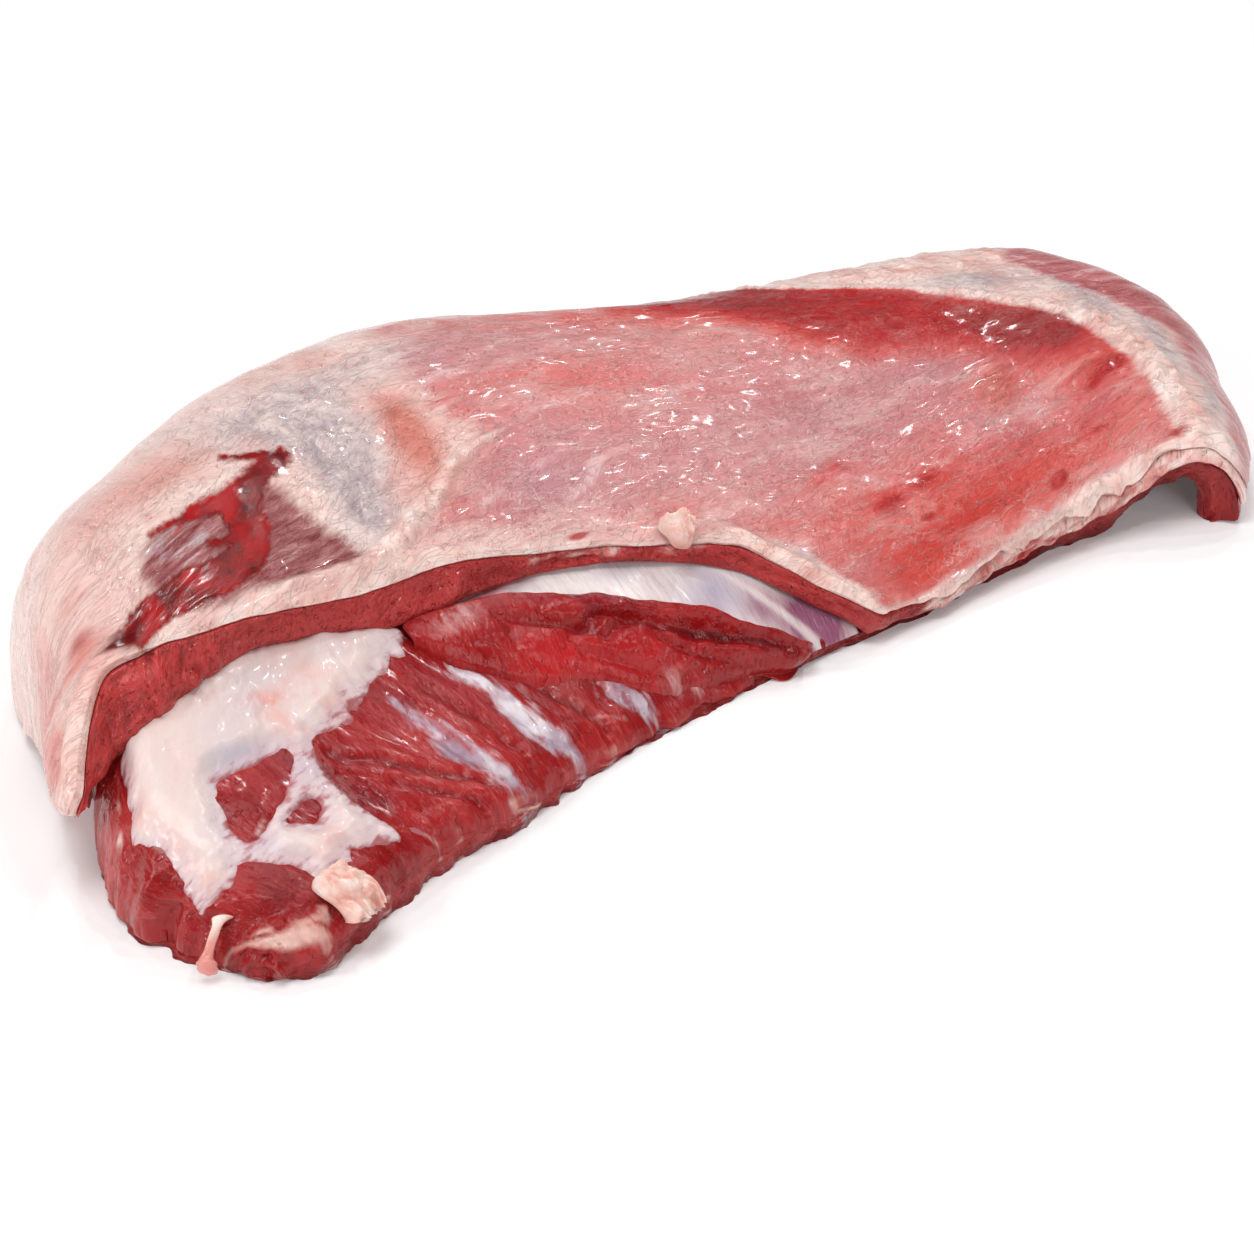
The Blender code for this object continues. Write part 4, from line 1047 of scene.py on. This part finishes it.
BLOODSHOT = [
    (0.895, 0.272, 0.007, 0.0022, 25, 1.0), (0.878, 0.245, 0.003, 0.002, 0, 0.8),
    (0.946, 0.04, 0.004, 0.002, 0, 0.8), (0.872, 0.15, 0.004, 0.003, 0, 0.6),
    (0.663, 0.214, 0.005, 0.0018, 10, 1.0), (0.69, 0.15, 0.004, 0.0016, 0, 0.9),
    (0.705, 0.225, 0.005, 0.0016, 0, 0.7), (0.821, 0.084, 0.0036, 0.0036, 0, 1.5),
    (0.425, 0.325, 0.004, 0.001, 0, 1.0), (0.745, 0.7, 0.01, 0.003, -10, 0.9),
    (0.045, 0.64, 0.003, 0.005, 0, 0.7), (0.79, 0.59, 0.01, 0.004, -10, 0.8),
    (0.725, 0.64, 0.012, 0.004, -15, 0.7), (0.14, 0.665, 0.006, 0.0015, 20, 0.8),
    (0.64, 0.33, 0.003, 0.0014, 0, 0.8),
]
# How wide the fat shows between the cut and the sheet, in metres.
SHEET_FRONT = [
    (0.0, 0.0012), (0.51, 0.0012), (0.575, 0.0105), (0.605, 0.0044), (0.625, 0.0012), (0.65, 0.0006),
    (0.7, 0.001), (0.76, 0.0024), (0.82, 0.003), (0.862, 0.0052), (0.9, 0.0044), (0.935, 0.0014),
    (1.0, 0.001),
]


def sheet_depth(s, t):
    """How far inside the pink sheet's border a place lies, in metres."""
    rim = profile(COVER_RIM, s)
    near = rim + profile(SHEET_FRONT, s) / RUN_WIDTH
    left = (s - profile(RIDGE, t)) * RUN_LENGTH
    far = (profile(FAR_BORDER, t) - s) * RUN_LENGTH
    front_and_back = np.minimum(t - near, SHEET_BACK + 0.02 - t) * RUN_WIDTH
    return np.minimum(np.minimum(left, far), front_and_back)


FAT_RIDGE = [
    (0.185, 0.45, 0.001), (0.215, 0.432, 0.0026), (0.25, 0.415, 0.0034), (0.29, 0.43, 0.0036),
    (0.335, 0.472, 0.0032), (0.362, 0.508, 0.0024), (0.39, 0.528, 0.001), (0.44, 0.548, 0.0003),
]


# How wide the pale fat shows along the cut, by s, and along the sheet's flank end, by t.
CUT_FAT = [
    (0.0, 0.05), (0.1, 0.012), (0.18, 0.016), (0.26, 0.05), (0.3, 0.04), (0.345, 0.02), (0.4, 0.01),
    (0.5, 0.008), (0.55, 0.06), (0.6, 0.028), (0.63, 0.006), (0.7, 0.009), (0.76, 0.018),
    (0.82, 0.022), (0.862, 0.036), (0.9, 0.032), (0.94, 0.02), (1.0, 0.02),
]
FLANK_FAT = [(0, 0.03), (0.1, 0.026), (0.45, 0.024), (0.6, 0.018), (0.7, 0.008), (1, 0.01)]
BACK_FAT = [
    (0.77, 0.8), (0.8, 0.75), (0.86, 0.755), (0.91, 0.745), (0.935, 0.8), (0.9, 0.95), (0.76, 0.95),
]


def fat_lines(s, t):
    """How far inside the pale fat a place lies: the ridge by the cut and the strips round the sheet."""
    beside = (profile(CUT_FAT, s) - (t - profile(COVER_RIM, s))) * RUN_WIDTH
    far = s - profile(FAR_BORDER, t)
    strip = np.minimum(far, profile(FLANK_FAT, t) - far) * RUN_LENGTH
    back = np.minimum(zone(s, t, BACK_FAT, 30), 0.004)
    ridge = trail(s, t, FAT_RIDGE)
    return np.maximum(np.maximum(np.minimum(beside, 0.005), ridge), np.maximum(strip, back))


def end_wall(s):
    """1 on the steep fold at the breast end, 0 on the flap's top."""
    return smooth(0.055, 0.035, s)


def flap_marks(s, t, w):
    """Where each colour of the flap's outer face lies."""
    flush = 0.2 + patches(s, t, *FLUSHES) + 0.1 * smooth(0.58, 0.68, s) * (1 - smooth(0.35, 0.6, t))
    flush = flush + 0.68 * smooth(-0.015, 0.009, zone(s, t, RED_BAND))
    red_rim = 0.35 * bump(t, 0.945, 0.02) * smooth(0.3, 0.4, s) * (1 - smooth(0.5, 0.6, s))
    ahead = RUN_LENGTH * (profile(RIDGE, t) - profile(SHEET_FLUSH, t)) * smooth(0.5, 0.4, s)
    left = 0.81 * smooth(0.045, 0.012, s) * smooth(0.9, 0.7, t) + 0.144 * smooth(0.2, 0.08, s)
    ragged = 0.005 * hills(t * RUN_WIDTH / 0.006, 0 * s, 71, 2)
    return {
        "place": place_mark(s, t, w * 0.004),
        "blood": deepest(s, t, BLOOD_TRAILS),
        "bare": zone(s, t, BARE_MUSCLE),
        "sheet": sheet_depth(s, t) * (1 + 2.5 * smooth(0.5, 0.7, s)) + ahead,
        "faded": smooth(0.47, 0.56, t) * (1 - smooth(0.45, 0.55, s)),
        "fat": fat_lines(s, t),
        "flush": flush + red_rim,
        "haze": patches(s, t, *HAZES),
        "blue": patches(s, t, *BLUES),
        "orange": patches(s, t, *ORANGES),
        "rosy": left + patches(s, t, *ROSES),
        "flank": smooth(-0.006, 0.006, s - profile(FLANK_BORDER, t) + ragged),
        "wrinkle": smooth(0.17, 0.08, s),
        "wall": end_wall(s),
        "silver": patches(s, t, *SILVERS),
        "pale": deepest(s, t, PALE_STRANDS),
        "bloodshot": patches(s, t, *BLOODSHOT),
    }


def flap_relief(s, t):
    """The lumps and hollows of the flap's outer face, in metres."""
    along, across = s * RUN_LENGTH, t * RUN_WIDTH
    cushion = patches(s, t, *BLUES[:6]) + patches(s, t, (0.275, 0.48, 0.012, 0.01, 0, 1))
    lumps = 0.0007 * np.clip(cushion, 0, 1) * hills(along / 0.005, across / 0.005, 72, 3)
    knobs = patches(s, t, *KNOBS)
    bare = 0.001 * smooth(-0.0004, 0.0008, zone(s, t, BARE_MUSCLE)) * smooth(0.2, 0.22, s + 0.02 * t)
    fat = fat_lines(s, t)
    lumpy = 1 + 0.8 * hills(along / 0.004, across / 0.004, 73, 2)
    crisp = 1 + 0.4 * hills(along / 0.003, across / 0.003, 77, 2)
    ridge = 0.0007 * smooth(-0.0005, 0.0015, fat) * lumpy
    ridge = ridge + 0.0014 * smooth(-0.001, 0.0022, trail(s, t, FAT_RIDGE)) * crisp
    right = 0.0022 * smooth(0.66, 0.74, s) * (1 - 0.8 * smooth(0.6, 0.75, t))
    right = right * smooth(-0.001, 0.002, fat) * np.abs(hills(along / 0.006, across / 0.005, 74, 3))
    film = 0.0009 * np.abs(hills(along / 0.005, across / 0.012, 78, 2)) * patches(s, t, *BLUES[7:11])
    sway = 0.0004 * hills(along / 0.022, across / 0.016, 75, 2)
    wall = end_wall(s)
    slanting = hills(along / 0.009, across / 0.0023 - along / 0.02, 76, 2)
    folds = 0.00034 * smooth(0.16, 0.08, s) * (1 - wall) * slanting
    folds = folds + 0.0003 * wall * hills(along / 0.0023 + across / 0.03, across / 0.009, 80, 2)
    folds = folds - 0.0012 * bump(t, 0.575 + 0.1 * s, 0.012) * smooth(0.055, 0.02, s)
    slack = 0.00022 * hills(along / 0.009 + across / 0.02, across / 0.004, 79, 2) * smooth(0.2, 0.3, s)
    return lumps + knobs - bare + ridge + right + film + sway + folds + slack


def cover_top(s, t, cut):
    """The height of the flap's outer face, fat or sheet, over the rib sheet's top."""
    into = (t - profile(COVER_RIM, s)) * RUN_WIDTH
    bare = 1 - smooth(-0.016, 0.008, s - profile(RIDGE, t))
    whole = np.maximum(flap_thickness(s, t, cut) - COVER_THICKNESS, 0.0011) + 0.005 - 0.0004 * bare
    whole = whole * (1 - 0.68 * thin_end(s, t)) + flap_base(s, t, cut)
    ridge = 0.0012 * bump(into, 0.007, 0.005) * smooth(0.14, 0.19, s) * bare
    shoulder = 0.002 * (1 - rounded(np.maximum(into, 0), 0.006))
    return whole + ridge - shoulder + flap_relief(s, t) * smooth(0.0, 0.004, into)


# Knobs of fat beside the ridge and the clot at the flank: s, t, size in metres, turn and height.
KNOBS = [
    (0.292, 0.47, 0.004, 0.003, 0, 0.0016), (0.268, 0.478, 0.005, 0.0014, -35, 0.001),
    (0.824, 0.08, 0.0026, 0.0026, 0, 0.0014),
]
# Pale strands of membrane and fat on the sheet: s, t and half the width.
PALE_STRANDS = [
    [(0.395, 0.52, 0.0006), (0.44, 0.56, 0.0016), (0.5, 0.58, 0.0006)],
    [(0.415, 0.37, 0.0008), (0.445, 0.4, 0.0022), (0.47, 0.44, 0.001)],
    [(0.36, 0.42, 0.0004), (0.4, 0.455, 0.0012), (0.44, 0.47, 0.0004)],
    [(0.52, 0.52, 0.0004), (0.56, 0.56, 0.001), (0.62, 0.57, 0.0004)],
    [(0.34, 0.66, 0.0006), (0.38, 0.69, 0.001), (0.45, 0.69, 0.0004)],
    [(0.56, 0.36, 0.0003), (0.6, 0.4, 0.001), (0.65, 0.41, 0.0003)],
]


def paint_flap(wire):
    place = wire.place()
    broad = place.spots(22, 3)
    mottle = place.spots(95, 5, (1, 1, 1), 0, 0.62)
    fine = place.spots(420, 3)
    fibres = place.spots(42, 6, (1, 5, 1), -8, 0.66, 0.6)
    threads = place.web(38, 0.016, (1, 3.0, 1), 12, 1.6)
    lacing = place.web(80, 0.026, (1, 1.8, 1), -14, 1.2)
    flush = wire.mark("flush") + (mottle - 0.5) * 0.34 + (fibres - 0.5) * 0.3 + (broad - 0.5) * 0.16
    meat = flush.ramp([
        (0.0, (220, 170, 166)), (0.2, (208, 136, 133)), (0.4, (212, 106, 101)),
        (0.6, (204, 70, 62)), (0.8, (184, 22, 20)), (1.0, (152, 6, 6)),
    ])
    meat = (wire.mark("haze") * (0.45 + mottle * 0.6)).tint(meat, (186, 132, 140))
    film = threads * broad.steps(0.38, 0.54) * 0.44 + lacing * (1 - broad).steps(0.38, 0.56) * 0.36
    veil = place.spots(30, 5, (1, 3.0, 1), -14, 0.62, 0.6).steps(0.5, 0.68) * 0.3
    film = (film + veil) * (1 - flush.steps(0.42, 0.75) * 0.75)
    meat = film.tint(meat, (236, 204, 198))
    pale = (wire.mark("pale") * 500 + (mottle - 0.5) * 5 + (fibres - 0.5) * 4).steps(-0.6, 1.8)
    meat = (pale * 0.7).tint(meat, (228, 194, 192))
    cream = (mottle * 0.7 + broad * 0.5 - 0.1).ramp([
        (0.25, (214, 156, 148)), (0.42, (230, 188, 180)), (0.58, (240, 212, 204)),
        (0.8, (246, 226, 220)),
    ])
    redder = (wire.mark("rosy") + (mottle - 0.5) * 1.3 + (broad - 0.5) * 0.5).steps(0.15, 0.85)
    cream = (redder * 0.8).tint(cream, (214, 120, 110))
    flecks = place.spots(300, 3, (1, 3.0, 1), 8).steps(0.62, 0.7) * broad.steps(0.46, 0.6)
    cream = (flecks * 0.55).tint(cream, (200, 92, 84))
    sheet = wire.mark("sheet") * 220 - wire.mark("faded") * 3 + (mottle - 0.5) * 5 + (fibres - 0.5) * 5
    color = sheet.steps(-1.2, 2.2).tint(cream, meat)
    color = (wire.mark("orange") * (0.75 + mottle * 0.9)).tint(color, (206, 122, 108))
    blue = (wire.mark("blue") * 0.9 + (mottle - 0.5) * 1.1 + (fibres - 0.5) * 0.5).steps(0.1, 1.15)
    speckled = fine * 0.4 + mottle * 0.6
    bluish = speckled.ramp([(0.38, (164, 148, 156)), (0.5, (192, 176, 178)), (0.62, (222, 202, 196))])
    color = (blue * 0.88).tint(color, bluish)
    color = ((threads + lacing) * blue * 0.4).tint(color, (230, 208, 204))
    bare = (wire.mark("bare") * 420 + (fibres - 0.5) * 3 + (mottle - 0.5) * 3).steps(-0.6, 1.4)
    strands = place.spots(50, 5, (1.4, 9, 1), -60, 0.66, 0.3)
    muscle = strands.ramp([
        (0.3, (104, 30, 34)), (0.44, (148, 74, 76)), (0.6, (180, 118, 118)), (0.74, (228, 204, 202)),
    ])
    silvery = (wire.mark("silver") * 0.8 + (strands - 0.5) * 2.6 + (mottle - 0.5) * 2.0).steps(0.4, 1.1)
    muscle = (silvery * 0.7).tint(muscle, (200, 178, 182))
    color = bare.tint(color, muscle)
    fat = (wire.mark("fat") * 700 + (mottle - 0.5) * 5).steps(-0.4, 1.4)
    fatty = mottle.ramp([(0.3, (218, 156, 146)), (0.48, (238, 198, 188)), (0.66, (247, 224, 216))])
    color = (fat * 0.9).tint(color, fatty)
    streaked = fibres * 0.6 + mottle * 0.4
    flank = streaked.ramp([(0.36, (160, 58, 62)), (0.5, (194, 104, 108)), (0.62, (224, 184, 188))])
    color = (wire.mark("flank") * 0.9).tint(color, flank)
    bloodshot = (wire.mark("bloodshot") + (mottle - 0.5) * 0.7).steps(0.25, 0.9)
    color = (bloodshot * 0.8).tint(color, (176, 22, 22))
    blood = (wire.mark("blood") * 700 + (mottle - 0.5) * 5 + (fine - 0.5) * 2).steps(-1.2, 0.4)
    pooled = (mottle * 0.6 + broad * 0.4).ramp([(0.42, (98, 0, 0)), (0.56, (172, 0, 2))])
    color = blood.tint(color, pooled)
    wet = place.spots(140, 3, (1, 1.8, 1), 20)
    beads = place.spots(430, 2, (1, 1.5, 1), -20).steps(0.62, 0.72)
    wall = wire.mark("wall")
    creases = (1 - wall) * place.spots(90, 3, (1, 4.5, 1), -8, 0.6, 0.8)
    creases = creases + wall * place.spots(90, 3, (4.5, 1, 1), 10, 0.6, 0.8)
    creases = creases * wire.mark("wrinkle")
    bumps = fibres * (1 - wall) * 0.7 + wet * 0.8 + (threads + lacing) * 0.14 + creases * 0.8
    bumps = bumps + strands * bare * 0.8 + place.spots(420, 2) * 0.32 + beads * 0.3
    bumps = bumps * (1 - blood * 0.75)
    return color, (0.08 + 0.22 * mottle) * (1 - blood * 0.4), bumps


def torn_rim(s):
    """How far the rim stands back at each place, as t: most where the knife left it ragged."""
    torn = 0.002 + 0.005 * smooth(0.6, 0.68, s) + 0.006 * smooth(0.4, 0.5, s)
    return torn * (0.4 + 0.6 * hills(s * 60, s * 7, 61, 2))


def flap_fat_form(u, v, w):
    s, t, cut = flap_place(u, v, lambda s: profile(COVER_RIM, s) + torn_rim(s), 0.004)
    low = muscle_top(s, t, cut) + GAP
    high = cover_top(s, t, cut) - 0.002 * smooth(0.0008, 0.006, sheet_depth(s, t))
    height = low + (np.maximum(high, low + GAP) - low) * w
    points = above(s, t, height)
    return points, flap_marks(s, t, w)


flap_finish = moist_finish("flap_finish", paint_flap, 0.1, 0.18)
flap_fat = laid_piece("flap_fat_skin", 340, 125, 3, flap_fat_form, 1)
dress(flap_fat, flap_finish, "flap_fat", "flap_fat")


# ---- The pink sheet ----
# A thin pink muscle under a tight membrane, which covers the flap from the fat ridge to the flank. Its
# long fibres run with the slab. It reddens along the back and towards the flank.

def pink_sheet_form(u, v, w):
    left, right = 0.245, 0.975
    s = left + (right - left) * u
    cut = profile(CUT_LINE, s)
    near = profile(COVER_RIM, s) + 0.006 + torn_rim(s)
    t = near + (SHEET_BACK + 0.03 - near) * profile([(0, 0), (0.1, 0.05), (0.85, 0.87), (1, 1)], v)
    inside = sheet_depth(s, t)
    full = cover_top(s, t, cut)
    along, across = s * RUN_LENGTH, t * RUN_WIDTH
    fine = 0.00018 * hills(along / 0.01 + across / 0.02, across / 0.0022, 81, 2)
    fine = fine * smooth(0.0, 0.01, inside)
    edge = np.clip((-0.002 - inside) / 0.012, 0, 1)
    high = full + 0.00012 - 0.002 * edge**2.5 + fine
    points = above(s, t, np.where(w > 0.5, high, full - 0.003))
    return points, flap_marks(s, t, w)


pink_sheet = laid_piece("pink_sheet_skin", 290, 130, 1, pink_sheet_form, 0)
dress(pink_sheet, flap_finish, "pink_sheet", "pink_sheet")


# ---- The loose fat ----
# Small soft pieces left by the knife: a nub on the flap's cut edge, a crinkled cluster at the front
# corner, and beside it a scrap with a soft pink drop that hangs over the edge.

def paint_loose_fat(wire):
    place = wire.node("ShaderNodeTexCoord", output="Object")
    clouds = place.spots(160, 4)
    color = clouds.ramp([(0.3, (226, 160, 146)), (0.5, (242, 206, 194)), (0.7, (250, 228, 220))])
    color = (wire.mark("rosy") * (0.5 + clouds * 0.6)).tint(color, (216, 128, 118))
    return color, 0.1 + 0.15 * clouds, clouds * 0.6 + place.spots(400, 3) * 0.15


loose_fat_finish = moist_finish("loose_fat_finish", paint_loose_fat, 0.1, 0.3, 0.001)


def mound_form(centre, size, height, base, crinkle, seed):
    def form(u, v, w):
        x, y = u * 2 - 1, v * 2 - 1
        x, y = x * np.sqrt(1 - y * y / 2), y * np.sqrt(1 - x * x / 2)
        turn = np.arctan2(y, x)
        wide = 1 + 0.14 * np.sin(3 * turn + 1.0) + 0.06 * np.cos(5 * turn)
        s = centre[0] + x * wide * size[0] / 2 / RUN_LENGTH
        t = np.maximum(centre[1] + y * wide * size[1] / 2 / RUN_WIDTH, 0.003)
        dome = np.sqrt(np.clip(1 - 0.92 * (x * x + y * y), 0.0, 1.0))
        creased = np.abs(hills(x * 3.4 + 0.6 * y, y * 3.8, seed, 2)) - 0.3
        lumps = 1 + 0.15 * np.sin(5 * x + 2) * np.cos(4 * y) + crinkle * creased
        return above(s, t, base + w * height * dome * lumps), {}

    return form


# Each mound's node, centre, size along and across, height, base, crinkle and seed.
MOUNDS = [
    ("fat_nub", (0.491, 0.27), (0.009, 0.009), 0.0088, 0.0118, 0.35, 91),
    ("fat_cluster", (0.074, 0.012), (0.013, 0.015), 0.0058, 0.0026, 0.7, 92),
]
for node, *measures in MOUNDS:
    lump = laid_piece(f"{node}_skin", 60, 60, 1, mound_form(*measures), 2)
    dress(lump, loose_fat_finish, "loose_fat", node)


SCRAP_GIRTH = [
    (0, 0.0002), (0.05, 0.0015), (0.13, 0.0025), (0.22, 0.002), (0.3, 0.0012), (0.45, 0.0013),
    (0.75, 0.003), (0.92, 0.0024), (1, 0.0004),
]


def scrap_form(u, v, w):
    """A small knot of fat with a soft drop that hangs from it over the front edge."""
    knot, edge = top(np.array([0.013, 0.004]), np.array([0.112, 0.085]))
    stations = np.array([
        knot + [0.0032, 0.0012, 0.0012], knot + [-0.001, -0.0006, 0.0024],
        edge + [-0.005, -0.0005, 0.0005], edge + [-0.0062, -0.0015, -0.0035],
        edge + [-0.0064, -0.002, -0.007],
    ])
    stations[:, 2] = np.maximum(stations[:, 2], [0, 0, 0, 0.0055, 0.0026])
    line = hermite(np.linspace(0, 1, 5), stations, np.gradient(stations, 0.25, axis=0), u)
    girth = profile(SCRAP_GIRTH, u)
    x = v * 2 - 1
    aside, ahead = np.array([0.77, -0.64, 0.0]), np.array([-0.35, -0.42, 0.84])
    round_side = np.where(w > 0.5, 1.0, -1.0) * np.sqrt(1 - 0.96 * x * x) * 0.8
    girth = girth * (1 + 0.15 * hills(u * 9, v * 2, 94, 2))
    points = line + aside * (girth * x)[:, None] + ahead * (girth * round_side)[:, None]
    return points, {"rosy": smooth(0.28, 0.5, u)}


fat_scrap = laid_piece("fat_scrap_skin", 50, 16, 1, scrap_form, 1)
dress(fat_scrap, loose_fat_finish, "loose_fat", "fat_scrap")


# ---- The studio ----
# A plain white floor and soft white lamps above, at the left and in front, which lay a faint shadow
# at the slab's foot. Small lamps farther off leave the glints on its wet faces.

def floor_finish():
    made = bpy.data.materials.new("studio_floor")
    made.use_nodes = True
    shader = made.node_tree.nodes["Principled BSDF"]
    shader.inputs["Base Color"].default_value = (0.95, 0.95, 0.95, 1.0)
    shader.inputs["Roughness"].default_value = 0.8
    shader.inputs["Specular IOR Level"].default_value = 0.1
    shader.inputs["Emission Color"].default_value = (1.0, 1.0, 1.0, 1.0)
    shader.inputs["Emission Strength"].default_value = 0.06
    return made


ground = bmesh.new()
bmesh.ops.create_grid(ground, x_segments=1, y_segments=1, size=6.0)
floor_mesh = bpy.data.meshes.new("floor")
ground.to_mesh(floor_mesh)
ground.free()
floor_mesh.materials.append(floor_finish())
floor = bpy.data.objects.new("floor", floor_mesh)
bpy.context.scene.collection.objects.link(floor)


def lamp(name, place, aim, size, power):
    light = bpy.data.lights.new(name, "AREA")
    light.shape = "DISK"
    light.size = size
    light.energy = power
    made = bpy.data.objects.new(name, light)
    made.location = place
    made.rotation_euler = (Vector(aim) - Vector(place)).to_track_quat("-Z", "Y").to_euler()
    bpy.context.scene.collection.objects.link(made)


MIDDLE, BREAST_END = (0, 0, 0), (-0.2, 0, 0.02)
lamp("lamp_above", (-0.45, -0.15, 1.5), MIDDLE, size=0.7, power=8.5)
lamp("lamp_left", (-1.3, 0.3, 0.9), MIDDLE, size=0.5, power=6)
lamp("lamp_front", (-0.4, -1.5, 0.9), MIDDLE, size=0.9, power=6)
lamp("lamp_low", (-1.2, -0.05, 0.28), BREAST_END, size=0.11, power=1.8)
# Small bright lamps leave a glint on each wet bump that faces them.
GLINTS = [
    (0.45, 0.6, 1.15), (0.1, 0.9, 1.05), (0.85, 0.35, 1.05), (-0.15, 0.6, 1.35), (0.8, 0.8, 0.8),
    (0.45, -0.15, 1.2), (0.15, -0.5, 1.25), (0.75, -1.1, 0.4), (0.3, -1.25, 0.3), (0.65, 0.1, 1.1),
]
for number, place in enumerate(GLINTS, 1):
    lamp(f"lamp_glint_{number}", place, MIDDLE, size=0.035, power=1.1)

world = bpy.data.worlds.new("studio_world")
world.use_nodes = True
world.node_tree.nodes["Background"].inputs["Color"].default_value = (1.0, 1.0, 1.0, 1.0)
world.node_tree.nodes["Background"].inputs["Strength"].default_value = 0.16
bpy.context.scene.world = world

AIM = Vector((-CENTRE[0], -CENTRE[1], 0.025))
AZIMUTH, ELEVATION = math.radians(-39.5), math.radians(34)
DISTANCE = 0.78
level = math.cos(ELEVATION)
back = Vector((math.sin(AZIMUTH) * level, -math.cos(AZIMUTH) * level, math.sin(ELEVATION)))
lens = bpy.data.cameras.new("camera")
lens.lens = 78
lens.sensor_width = 36
camera = bpy.data.objects.new("camera", lens)
camera.location = AIM + back * DISTANCE
camera.rotation_euler = (-back).to_track_quat("-Z", "Y").to_euler()
bpy.context.scene.collection.objects.link(camera)
bpy.context.scene.camera = camera

bpy.context.scene.view_settings.view_transform = "Standard"

bpy.context.view_layer.update()
